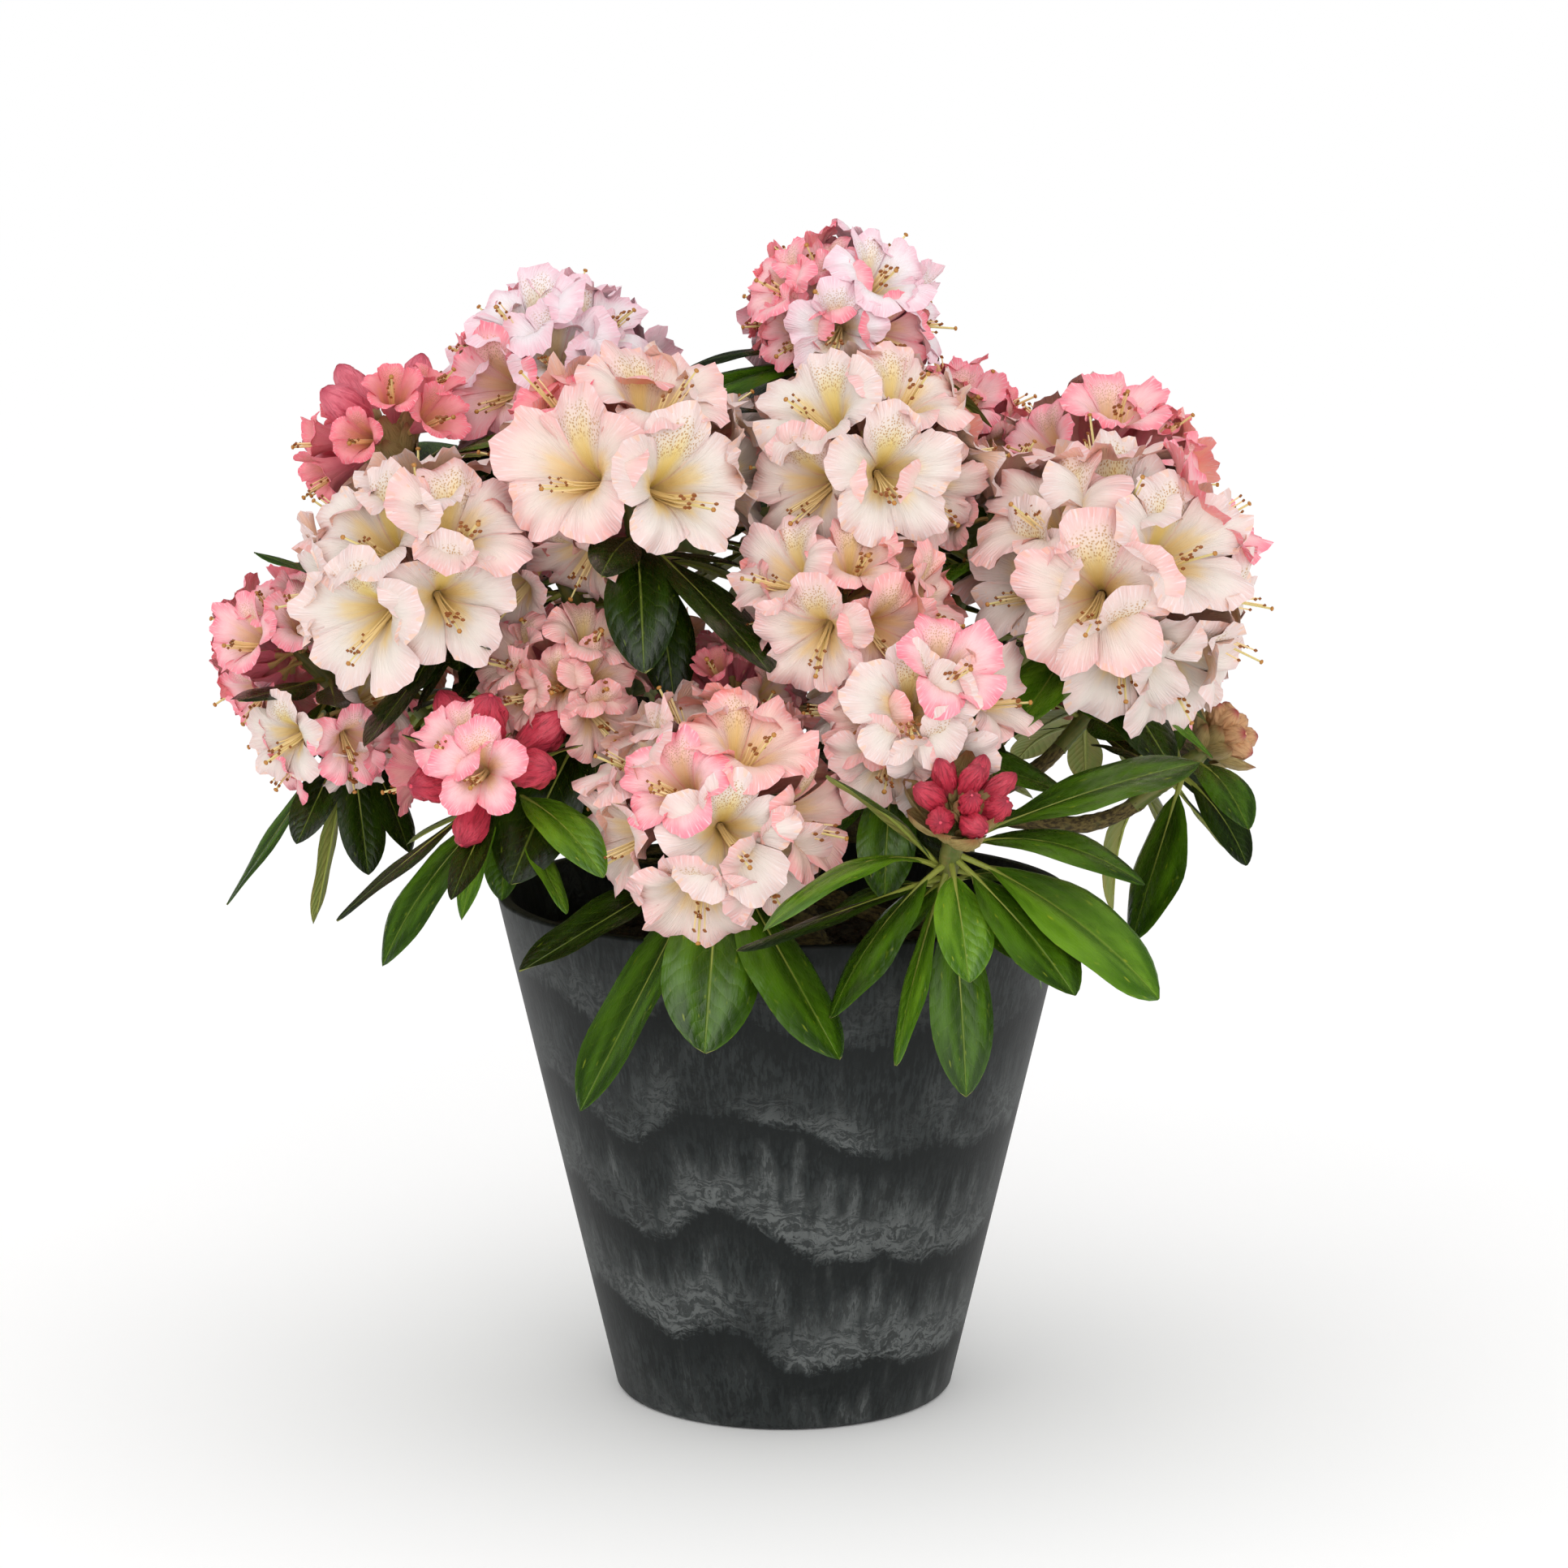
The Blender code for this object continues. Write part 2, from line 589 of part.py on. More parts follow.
def turned_skin(profile, sides):
    """The closed skin of a section turned round the Z axis; its ends lie on the axis."""
    points = [Vector((0, 0, profile[0][1]))]
    for radius, height in profile[1:-1]:
        points += [Vector((radius * math.cos(angle), radius * math.sin(angle), height))
                   for angle in (math.tau * step / sides for step in range(sides))]
    points.append(Vector((0, 0, profile[-1][1])))
    faces = [(0, 1 + (step + 1) % sides, 1 + step) for step in range(sides)]
    rings = len(profile) - 2
    for step in range(rings - 1):
        faces += bridge(1 + step * sides, 1 + (step + 1) * sides, sides)
    last = 1 + (rings - 1) * sides
    faces += [(len(points) - 1, last + step, last + (step + 1) % sides) for step in range(sides)]
    return points, faces


# Objects and materials

def clear_scene():
    """Removes whatever the file starts with."""
    for item in list(bpy.data.objects):
        bpy.data.objects.remove(item)


def plain_material(name, colour, roughness):
    """A Principled material of one colour."""
    material = bpy.data.materials.new(name)
    material.use_nodes = True
    shader = material.node_tree.nodes["Principled BSDF"]
    shader.inputs["Base Color"].default_value = (*colour, 1)
    shader.inputs["Roughness"].default_value = roughness
    return material


def new_object(name, points, faces, materials, parent=None, smooth=False):
    """An object made of a list of points and faces, with its materials in their slots."""
    mesh = bpy.data.meshes.new(name)
    mesh.from_pydata([tuple(point) for point in points], [], faces)
    for material in materials:
        mesh.materials.append(material)
    item = bpy.data.objects.new(name, mesh)
    bpy.context.scene.collection.objects.link(item)
    item.parent = parent
    if smooth:
        mesh.shade_smooth()
        mesh.set_sharp_from_angle(angle=SHARP)
    return item


def apply_modifiers(item):
    """Replaces an object's mesh with what its modifiers make of it."""
    graph = bpy.context.evaluated_depsgraph_get()
    graph.update()
    shaped = bpy.data.meshes.new_from_object(item.evaluated_get(graph))
    item.modifiers.clear()
    item.data = shaped


def fuse(base, pieces):
    """Joins pieces to a base object with one Boolean union on a collection."""
    group = bpy.data.collections.new(base.name + "_pieces")
    bpy.context.scene.collection.children.link(group)
    for piece in pieces:
        group.objects.link(piece)
    union = base.modifiers.new("join", "BOOLEAN")
    union.operation = "UNION"
    union.operand_type = "COLLECTION"
    union.collection = group
    union.solver = "EXACT"
    union.material_mode = "TRANSFER"
    apply_modifiers(base)
    for piece in pieces:
        bpy.data.objects.remove(piece)
    bpy.data.collections.remove(group)


def cut(item, points, faces):
    """Takes a closed skin's space out of an object."""
    cutter = new_object("cutter", points, faces, [])
    difference = item.modifiers.new("cut", "BOOLEAN")
    difference.operation = "DIFFERENCE"
    difference.object = cutter
    difference.solver = "EXACT"
    apply_modifiers(item)
    bpy.data.objects.remove(cutter)


def keep_largest(item):
    """Drops the loose scraps that a cut leaves beside the main body."""
    shape = bmesh.new()
    shape.from_mesh(item.data)
    groups = []
    waiting = set(shape.verts)
    while waiting:
        edge_of_group = [waiting.pop()]
        group = set(edge_of_group)
        while edge_of_group:
            vertex = edge_of_group.pop()
            near = {edge.other_vert(vertex) for edge in vertex.link_edges} - group
            group |= near
            edge_of_group += near
        waiting -= group
        groups.append(group)
    groups.sort(key=len)
    for group in groups[:-1]:
        bmesh.ops.delete(shape, geom=list(group), context="VERTS")
    shape.to_mesh(item.data)
    shape.free()


def build_planter(plant):
    """The planter and the compost in it."""
    stone = plain_material("dark_marbled_composite", (0.045, 0.050, 0.054), 0.75)
    peat = plain_material("peat_compost", (0.030, 0.020, 0.013), 0.95)
    new_object("planter", *turned_skin(pot_profile(), POT_SIDES), [stone], plant, True)
    new_object("compost", *turned_skin(soil_profile(), POT_SIDES), [peat], plant, True)


def limb_sides(name):
    """How many sides a limb's skin has."""
    return TRUNK_SIDES if name == "trunk" else LIMB_SIDES


def build_limbs(plant, limbs):
    """The trunk, and each limb cut clear of the ones before it that it forks from or beside."""
    bark = plain_material("bark", (0.135, 0.105, 0.070), 0.85)
    cutters = []
    for name, limb in limbs.items():
        points, faces = tube(limb, limb_sides(name))
        item = new_object(name, points, faces, [bark], plant)
        skin = BVHTree.FromPolygons(points, faces)
        for cutter in cutters:
            if skin.overlap(BVHTree.FromPolygons(*cutter)):
                cut(item, *cutter)
        keep_largest(item)
        item.data.shade_smooth()
        item.data.set_sharp_from_angle(angle=SHARP)
        cutters.append(tube(limb, limb_sides(name), CLEAR))


def build_heads(plant, heads):
    """Each flower head with its stem and leaves, fused to one solid."""
    wood = plain_material("young_stem", (0.18, 0.20, 0.07), 0.6)
    petal = plain_material("petal", (0.86, 0.62, 0.56), 0.6)
    bud = plain_material("bud", (0.60, 0.04, 0.10), 0.5)
    leaf = plain_material("leaf", (0.035, 0.10, 0.022), 0.4)
    kinds = {"stem": wood, "flower": petal, "bud": bud, "leaf": leaf}
    for name, pieces in heads.items():
        base = new_object("truss_" + name, pieces[0].points, pieces[0].faces, [wood], plant)
        items = [new_object("piece", piece.points, piece.faces, [kinds[piece.kind]]) for piece in pieces[1:]]
        fuse(base, items)


def main():
    """Builds the whole plant in its planter."""
    clear_scene()
    plant = bpy.data.objects.new("potted_rhododendron", None)
    bpy.context.scene.collection.objects.link(plant)
    limbs = grow_limbs()
    build_planter(plant)
    build_limbs(plant, limbs)
    build_heads(plant, grow_heads(limbs))


main()
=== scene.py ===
"""Looks of the potted rhododendron: petals, stamens, buds, leaves, bark, planter, light and camera.

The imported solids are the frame. The same growth rule as theirs is written again here, so every flower,
bud and leaf starts from the place, direction and size that its solid has, and is then carried further to
petals, stamens, flower stalks, leaf stalks, bracts and small inner leaves.
"""

import json
import math
import random
from typing import NamedTuple

import bpy
import numpy as np
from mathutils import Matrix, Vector, noise
from mathutils.bvhtree import BVHTree

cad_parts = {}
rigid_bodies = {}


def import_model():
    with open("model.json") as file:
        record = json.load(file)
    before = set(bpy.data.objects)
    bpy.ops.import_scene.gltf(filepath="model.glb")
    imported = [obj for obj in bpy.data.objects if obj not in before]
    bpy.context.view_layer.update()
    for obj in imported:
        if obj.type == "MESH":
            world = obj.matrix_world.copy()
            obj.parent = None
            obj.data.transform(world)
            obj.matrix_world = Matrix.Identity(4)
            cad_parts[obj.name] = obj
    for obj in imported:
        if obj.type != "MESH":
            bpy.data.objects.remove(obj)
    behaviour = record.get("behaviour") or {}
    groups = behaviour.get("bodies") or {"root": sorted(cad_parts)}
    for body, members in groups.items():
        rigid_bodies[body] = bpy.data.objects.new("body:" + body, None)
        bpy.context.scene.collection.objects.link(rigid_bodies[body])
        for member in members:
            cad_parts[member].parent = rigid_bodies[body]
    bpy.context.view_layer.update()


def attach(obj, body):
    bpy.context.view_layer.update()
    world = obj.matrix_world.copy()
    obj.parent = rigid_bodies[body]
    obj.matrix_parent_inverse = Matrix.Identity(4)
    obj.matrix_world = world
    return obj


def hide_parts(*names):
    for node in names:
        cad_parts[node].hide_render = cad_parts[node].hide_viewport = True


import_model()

MM = 0.001
CLEAR = 0.0003
GOLDEN_ANGLE = math.radians(137.508)
BODY = "root"

# Planter and compost
POT_HEIGHT = 0.240
POT_RIM_RADIUS = 0.135
POT_BASE_RADIUS = 0.080
POT_WALL = 0.006
POT_FLOOR = 0.008
POT_EDGE = 0.002
POT_SIDES = 48
SOIL_DROP = 0.025
POT_SLOPE = (POT_RIM_RADIUS - POT_BASE_RADIUS) / POT_HEIGHT

# Trunk, boughs and side limbs
SOIL_TOP = POT_HEIGHT - SOIL_DROP
TRUNK_TOP = Vector((0.004, 0.003, 0.272))
TRUNK_SHAPE = ((0.0, 0.0240), (0.10, 0.0185), (0.28, 0.0150), (0.55, 0.0135), (0.85, 0.0145),
               (1.0, 0.0105))
TRUNK_SIDES = 10
BOUGH_RADIUS = 0.0062
LIMB_RADIUS = 0.0050
SHOOT_RADIUS = 0.0038
LIMB_SIDES = 6
LIMB_STEPS = 4
CURVE_PULL = 0.36
FORK_ASIDE = 0.9
FORK_ALONG = 0.35
FORK_OUT = 0.5
TAPER = 0.8

# Flower heads and leaves
SPREAD_FROM = Vector((0, 0, 0.150))
STEM = 0.045
STEM_MIDDLE = 0.018
STEM_MIDDLE_RADIUS = 0.0046
CORE_RADIUS = 0.012
CORE_SHARE = 0.4
KNOB_SHAPE = ((-0.7, 0.75), (0.1, 1.0), (0.75, 0.65))
HEAD_SPREAD = math.radians(98)
BUD_SPREAD = math.radians(58)
LOBES = 5
UPPER_LOBE = math.radians(90)
ROOT_DEPTH = 0.004
LEAVES_BELOW = 0.016
LEAF_STEP = 0.0018
FLOWER_WIDTH = 0.49
THROAT_HEIGHT = 0.56
THROAT_WIDTH = 0.15
SINUS_WIDTH = 0.78
LOBE_HEIGHT = 0.97
SINUS_HEIGHT = 0.93
MOUTH_DEPTH = 0.70
BUD_WAIST = 0.66
BUD_RADIUS = 0.006
LEAF_LENGTH = 0.104
LEAF_WIDTH = 0.036
LEAF_THICKNESS = 0.0016
LEAF_SHAPE = ((0.24, 0.36), (0.62, 1.0))
LEAF_BEND = 0.5
STALK = 0.18
TOUCH = 0.0008
WAY_JITTER = 0.075
FLOWER_TRIES = 6
FLOWER_NUDGE = 0.09
FLOWER_SHRINK = 0.05
SMALLEST_FLOWER = 0.94
KNOWN_TRIES = 24
KNOWN_NUDGE = 0.0012
STEEPEST_ARCH = 0.8
WIDEST_LEAF = 1.1
WHORL_TRIES = 20
WHORL_TURN = math.radians(40)
WHORL_JITTER = 0.04
WHORL_RISE = (-0.25, 0.35)
WHORL_ASIDE = 0.6
WHORL_DROOP = (0.1, 0.8)
SHORTEST_LEAF = 0.72
LEAF_SHRINK = 0.02
FULL_HEAD = 45                  # the reach in mm of a head whose stem ends in a full knob

# Leaves beyond the solids: small ones lower on each stem, where there is still room
SMALL_LEAVES = 5
SMALL_LEAF = 0.60

# Flowers beyond the solids: how near to another one they may stand, how often it is tried, their share
# of their head's reach, and the share of a flower's own reach that must touch nothing
FILL_GAP = math.radians(31)
FILL_TRIES = 160
FILL_REACH = (0.84, 0.94)
FILL_TEST = 0.97

# Where the random draws start
GROWTH_SEED = 11
FILL_SEED = 500
PETAL_SEED = 4000
BUD_SEED = 7000
LEAF_SEED = 9000
CRUMB_SEED = 5


class Shoot(NamedTuple):
    """One flower head: where its limb forks, where its stalks meet, and what it carries.

    Its stages are its flowers' colours, from the youngest at its top to the oldest at its foot: R rose,
    P pink, S salmon, B blush, C cream, W cool white-pink. The last one is for the rest.
    """

    name: str
    parent: str
    fork: float
    heart_mm: tuple
    reach_mm: float
    flowers: int
    buds: int
    leaves: int
    turn: float
    stages: str

    @property
    def heart(self):
        """The point where its stalks meet."""
        return Vector(self.heart_mm) * MM

    @property
    def reach(self):
        """How far its flowers reach from there."""
        return self.reach_mm * MM

    @property
    def knob(self):
        """The size of the knob that its stalks rise from, as a share of a full one."""
        return min(1, self.reach_mm / FULL_HEAD)

    @property
    def way(self):
        """The direction in which it grows."""
        bend = Vector(BENDS.get(self.name, (0, 0, 0)))
        return ((self.heart - SPREAD_FROM).normalized() + bend).normalized()


SHOOTS = (
    Shoot("top", "trunk", 0.90, (27, 25, 503), 47, 8, 0, 6, 250, "WPWWPWWW"),
    Shoot("left", "trunk", 0.62, (-160, -65, 390), 60, 10, 0, 6, 200, "BCCCBCCSCC"),
    Shoot("right", "trunk", 0.70, (146, -50, 386), 70, 10, 0, 6, 300, "PBCCBCCBCB"),
    Shoot("front", "trunk", 0.56, (-31, -125, 296), 57, 10, 0, 6, 250, "PSBCSBSCBS"),
    Shoot("bud_front", "bough_front", 0.35, (75, -147, 299), 33, 0, 9, 11, 0, ""),
    Shoot("back_top", "trunk", 0.76, (-10, 115, 415), 58, 8, 0, 6, 90, "PBCSCCBCS"),
    Shoot("top_left", "trunk", 0.86, (-109, 55, 470), 55, 9, 0, 6, 250, "PWWPWWPWW"),
    Shoot("upper_right", "trunk", 0.84, (150, 40, 425), 53, 8, 0, 6, 0, "PPSBPBPSP"),
    Shoot("centre_left", "bough_top", 0.30, (-71, -55, 430), 65, 10, 0, 6, 250, "RBCBCSCCBC"),
    Shoot("upper_centre", "bough_top", 0.45, (37, -45, 441), 59, 8, 0, 4, 270, "BCCCBCSC"),
    Shoot("centre", "bough_top", 0.18, (26, -85, 382), 50, 7, 0, 4, 270, "SCBSPBS"),
    Shoot("far_left", "bough_left", 0.32, (-224, -15, 353), 42, 8, 0, 3, 207, "PPRPPSPC"),
    Shoot("low_left", "bough_left", 0.20, (-130, -105, 312), 45, 3, 6, 8, 300, "PPP"),
    Shoot("inner_left", "bough_left", 0.48, (-95, -75, 345), 42, 6, 0, 3, 250, "SSPSBS"),
    Shoot("front_right", "bough_right", 0.22, (54, -105, 336), 56, 9, 0, 5, 270, "PBSBCBSCB"),
    Shoot("bud_right", "bough_right", 0.45, (203, 0, 310), 20, 0, 7, 4, 0, ""),
    Shoot("upper_left", "bough_top_left", 0.32, (-183, 20, 448), 48, 5, 4, 6, 200, "RRRRC"),
    Shoot("back_left", "bough_top_left", 0.20, (-140, 90, 385), 52, 7, 0, 6, 120, "PSBCBCSB"),
    Shoot("top_behind", "bough_upper_right", 0.42, (82, 75, 447), 38, 7, 0, 5, 80, "PRPPRPS"),
    Shoot("back_right", "bough_upper_right", 0.24, (125, 115, 380), 52, 7, 0, 6, 60, "SBCPBCSB"),
    Shoot("side_right", "bough_right", 0.32, (165, 85, 330), 44, 6, 0, 6, 30, "PSBSPSB"),
    Shoot("side_left", "bough_top_left", 0.10, (-195, 65, 335), 44, 6, 0, 6, 150, "RPSBPSP"),
    Shoot("back_low_left", "bough_back_top", 0.18, (-85, 140, 320), 50, 7, 0, 7, 120, "SBCCBSCB"),
    Shoot("back_low_right", "bough_back_top", 0.30, (55, 145, 315), 50, 7, 0, 7, 60, "PBCSBCCB"),
    Shoot("low_far_left", "bough_left", 0.42, (-206, -52, 329), 40, 4, 0, 4, 250, "CCPC"),
    Shoot("inner_front", "bough_front", 0.50, (-22, -75, 338), 38, 5, 0, 0, 250, "RPPSP"),
    Shoot("inner_right", "bough_right", 0.60, (93, -25, 414), 42, 6, 0, 2, 250, "PCSBSB"),
    Shoot("mid_left", "bough_left", 0.62, (-104, -50, 402), 44, 5, 0, 2, 250, "RSPBS"),
)

# Shoots that bend from the direction they would take: how far aside, towards the back and up
BENDS = {"low_left": (0.3, -0.5, -0.1), "low_far_left": (0.3, -1.0, -0.1),
         "bud_front": (-0.25, 0.12, 0.15)}

# Shoots whose leaves hang straight down from below the flowers
HANGING = ("front", "right", "low_far_left", "far_left", "left")

# Heads where one flower has opened ahead of the buds round it; elsewhere the buds are at the top
OPEN_FIRST = ("low_left",)

# Leaves whose place is known: where each one's tip hangs in mm, and its share of a full width
LEAF_TIPS = {
    "front": ((-89, -160, 172, 1.0), (-41, -180, 196, 1.0), (24, -180, 200, 1.0), (-115, -160, 234, 0.8)),
    "bud_front": ((183, -120, 320, 0.9), (157, -150, 271, 1.15), (164, -150, 220, 1.25),
                  (125, -180, 228, 1.25), (79, -190, 236, 1.0), (20, -170, 216, 1.15),
                  (49, -150, 190, 0.5), (80, -150, 176, 0.7), (114, -130, 220, 0.7),
                  (-9, -190, 258, 0.5), (-21, -200, 253, 0.3), (18, -180, 324, 0.5)),
    "right": ((100, -115, 330, 1.1), (174, -90, 312, 0.9), (195, -60, 312, 0.6)),
    "bud_right": ((212, -60, 279, 0.9), (163, -20, 219, 1.2), (157, 20, 226, 1.0), (180, 55, 320, 0.8)),
    "low_left": ((-195, -150, 255, 0.35), (-144, -160, 266, 0.45), (-142, -130, 251, 0.6),
                 (-78, -160, 276, 0.7), (-95, -140, 256, 0.45), (-88, -130, 329, 0.3),
                 (-167, -130, 334, 0.45)),
    "low_far_left": ((-255, -60, 244, 0.8), (-220, -80, 276, 0.8), (-191, -50, 256, 0.9),
                     (-219, -30, 229, 0.4)),
    "far_left": ((-244, -90, 343, 0.9), (-198, -110, 343, 0.4)),
    "left": ((-167, -90, 346, 0.9), (-131, -110, 369, 0.9), (-243, -30, 403, 0.5)),
    "centre_left": ((-61, -130, 361, 0.9), (-6, -130, 361, 0.9), (-79, -140, 405, 0.6),
                    (-49, -90, 340, 0.8)),
    "top": ((-44, 30, 484, 0.8),),
    "upper_left": ((-135, -50, 449, 0.6),),
}


class Limb(NamedTuple):
    """A limb's middle line, with its direction and radius at each point."""

    points: list
    ways: list
    radii: list


class Piece(NamedTuple):
    """A closed shape in world coordinates. Its kind is stem, flower, bud or leaf."""

    kind: str
    points: list
    faces: list


class Bloom(NamedTuple):
    """A flower or bud that has found its place."""

    shoot: Shoot
    kind: str
    number: int
    way: Vector
    reach: float


class Blade(NamedTuple):
    """A leaf that has found its place."""

    shoot: Shoot
    root: Vector
    start_way: Vector
    tip: Vector
    width: float


# The growth rule of the solids

def across(way):
    """Two unit vectors square to a direction and to each other: a level one, and one that rises."""
    level = Vector((0, 0, 1)).cross(way)
    if level.length < 0.05:
        level = Vector((0, 1, 0)).cross(way)
    level.normalize()
    return level, way.cross(level).normalized()


def around(way, angle):
    """The direction square to another one, at an angle from its level partner."""
    level, up = across(way)
    return math.cos(angle) * level + math.sin(angle) * up


def tilted(way, slope, angle):
    """A direction that leans away from another one by a slope, towards an angle round it."""
    return (math.cos(slope) * way + math.sin(slope) * around(way, angle)).normalized()


def ring(centre, level, up, radius, sides, turn=0.0):
    """Points round a centre, in the plane of two directions."""
    angles = (turn + math.tau * step / sides for step in range(sides))
    return [centre + radius * (math.cos(angle) * level + math.sin(angle) * up) for angle in angles]


def bridge(first, second, sides):
    """Faces between two rings of the same size, given the index of each ring's first point."""
    steps = [(step, (step + 1) % sides) for step in range(sides)]
    return [(first + step, first + after, second + after, second + step) for step, after in steps]


def closed_skin(rings):
    """The points and faces of a closed skin over rings of the same size."""
    sides = len(rings[0])
    faces = []
    for step in range(len(rings) - 1):
        faces += bridge(step * sides, (step + 1) * sides, sides)
    last = (len(rings) - 1) * sides
    faces += [tuple(reversed(range(sides))), tuple(range(last, last + sides))]
    return [point for points in rings for point in points], faces


def curve_between(start, start_way, end, end_way, steps):
    """Points and directions on a smooth curve that leaves and arrives along the given directions."""
    pull = (end - start).length * CURVE_PULL
    first = start + start_way * pull
    second = end - end_way * pull
    points = []
    ways = []
    for step in range(steps + 1):
        along = step / steps
        back = 1 - along
        points.append(back ** 3 * start + 3 * back ** 2 * along * first
                      + 3 * back * along ** 2 * second + along ** 3 * end)
        ways.append((back ** 2 * (first - start) + 2 * back * along * (second - first)
                     + along ** 2 * (end - second)).normalized())
    return points, ways


def trunk_limb():
    """The trunk: a wide root flare on the compost, a slight lean, and the knuckle it forks at."""
    foot = Vector((0, 0, SOIL_TOP + CLEAR))
    lean = TRUNK_TOP - foot
    points = [foot + lean * height for height, radius in TRUNK_SHAPE]
    ways = [Vector((0, 0, 1))] + [lean.normalized()] * (len(TRUNK_SHAPE) - 1)
    return Limb(points, ways, [radius for height, radius in TRUNK_SHAPE])


def place_along(limb, share):
    """A point on a limb's middle line, and the limb's direction there."""
    position = share * (len(limb.points) - 1)
    step = min(int(position), len(limb.points) - 2)
    share_of_step = position - step
    point = limb.points[step].lerp(limb.points[step + 1], share_of_step)
    return point, limb.ways[step].lerp(limb.ways[step + 1], share_of_step).normalized()


def limb_course(shoot, limbs, steps):
    """A limb's middle line from its fork to its tip, in a number of steps."""
    start, parent_way = place_along(limbs[shoot.parent], shoot.fork)
    end_way = shoot.way
    end = shoot.heart - end_way * STEM - end_way * CLEAR
    outward = (end - start).normalized()
    sideways = (outward - parent_way * outward.dot(parent_way)).normalized()
    start_way = (sideways * FORK_ASIDE + parent_way * FORK_ALONG + outward * FORK_OUT).normalized()
    points, ways = curve_between(start, start_way, end, end_way, steps)
    thick = BOUGH_RADIUS if shoot.parent == "trunk" else LIMB_RADIUS
    radii = [thick + (SHOOT_RADIUS - thick) * (step / steps) ** TAPER for step in range(steps + 1)]
    return Limb(points, ways, radii)


def grow_limbs():
    """The trunk, the boughs that fork from it and the side limbs that fork from those."""
    limbs = {"trunk": trunk_limb()}
    for shoot in SHOOTS:
        limbs["bough_" + shoot.name] = limb_course(shoot, limbs, LIMB_STEPS)
    return limbs


def tube(limb, sides):
    """A limb's closed skin."""
    rings = []
    level = across(limb.ways[0])[0]
    for centre, way, radius in zip(*limb):
        level = (level - way * level.dot(way)).normalized()
        rings.append(ring(centre, level, way.cross(level), radius, sides))
    return closed_skin(rings)


def stem_piece(shoot):
    """The stem from the limb's tip up to the knob that the flower stalks rise from."""
    core = min(CORE_RADIUS, shoot.reach * CORE_SHARE)
    profile = [(-STEM, SHOOT_RADIUS), (-STEM_MIDDLE, STEM_MIDDLE_RADIUS)]
    profile += [(height * core, radius * core) for height, radius in KNOB_SHAPE]
    rings = [ring(shoot.heart + shoot.way * height, *across(shoot.way), radius, LIMB_SIDES)
             for height, radius in profile]
    return Piece("stem", *closed_skin(rings))


def flower_piece(heart, way, reach, swell=0.0):
    """A funnel-shaped flower: a point in the knob, a throat, five lobes and a hollow mouth."""
    width = FLOWER_WIDTH * reach + swell
    throat = THROAT_WIDTH * reach + swell
    points = [heart + way * ROOT_DEPTH]
    points += ring(heart + way * THROAT_HEIGHT * reach, *across(way), throat, LOBES, UPPER_LOBE)
    for step in range(2 * LOBES):
        is_lobe = step % 2 == 0
        angle = UPPER_LOBE + math.tau * step / (2 * LOBES)
        radius = width if is_lobe else SINUS_WIDTH * width
        height = (LOBE_HEIGHT if is_lobe else SINUS_HEIGHT) * reach + swell
        points.append(heart + way * height + radius * around(way, angle))
    points.append(heart + way * MOUTH_DEPTH * reach)
    mouth = len(points) - 1
    rim = 1 + LOBES
    faces = []
    for step in range(LOBES):
        following = (step + 1) % LOBES
        lobe, sinus, next_lobe = rim + 2 * step, rim + 2 * step + 1, rim + 2 * following
        faces += [(0, 1 + following, 1 + step), (1 + step, sinus, lobe), (1 + step, 1 + following, sinus),
                  (1 + following, next_lobe, sinus), (mouth, lobe, sinus), (mouth, sinus, next_lobe)]
    return Piece("flower", points, faces)


def bud_piece(heart, way, reach, swell=0.0):
    """A closed bud on its stalk: two cones that meet at the bud's widest ring."""
    points = [heart + way * ROOT_DEPTH, heart + way * (reach + swell)]
    points += ring(heart + way * BUD_WAIST * reach, *across(way), BUD_RADIUS + swell, LOBES)
    faces = []
    for step in range(LOBES):
        following = (step + 1) % LOBES
        faces += [(0, 2 + following, 2 + step), (1, 2 + step, 2 + following)]
    return Piece("bud", points, faces)


def leaf_line(root, start_way, tip):
    """The midrib of a leaf: it leaves its stem along start_way and bends over to its tip."""
    handle = root + start_way * (tip - root).length * LEAF_BEND
    return lambda along: (1 - along) ** 2 * root + 2 * (1 - along) * along * handle + along ** 2 * tip


def leaf_piece(root, start_way, tip, width, swell=0.0, first=0.0):
    """A leaf: a point in the stem, two three-cornered sections and the tip."""
    line = leaf_line(root, start_way, tip)
    points = [line(first)]
    for along, share in LEAF_SHAPE:
        middle = line(along)
        way = (line(along + 0.05) - line(along - 0.05)).normalized()
        level, up = across(way)
        half = 0.5 * width * share + swell
        points += [middle - level * half, middle + level * half, middle - up * (LEAF_THICKNESS + swell)]
    points.append(line(1.0) + (tip - line(0.9)).normalized() * swell)
    faces = [(0, 1, 2), (0, 2, 3), (0, 3, 1), (7, 5, 4), (7, 6, 5), (7, 4, 6)]
    faces += [(4, 5, 2, 1), (5, 6, 3, 2), (6, 4, 1, 3)]
    return Piece("leaf", points, faces)


def body_of(points, faces):
    """A shape's middle, the radius of the ball that holds it, and the shape ready for overlap tests."""
    middle = sum(points, Vector()) / len(points)
    return middle, max((point - middle).length for point in points), BVHTree.FromPolygons(points, faces)


class Room:
    """Remembers what has grown, to tell whether a new piece would touch another part."""

    def __init__(self):
        self.taken = []

    def add(self, owner, kind, points, faces):
        """Keeps a grown piece."""
        self.taken.append((owner, kind, *body_of(points, faces)))

    def is_free(self, owner, piece, own_kinds=()):
        """True if a piece touches no other owner's piece, and none of its own of the given kinds."""
        middle, radius, shape = body_of(piece.points, piece.faces)
        for other, kind, place, size, taken in self.taken:
            if other == owner and kind not in own_kinds:
                continue
            if (place - middle).length < size + radius and shape.overlap(taken):
                return False
        return True


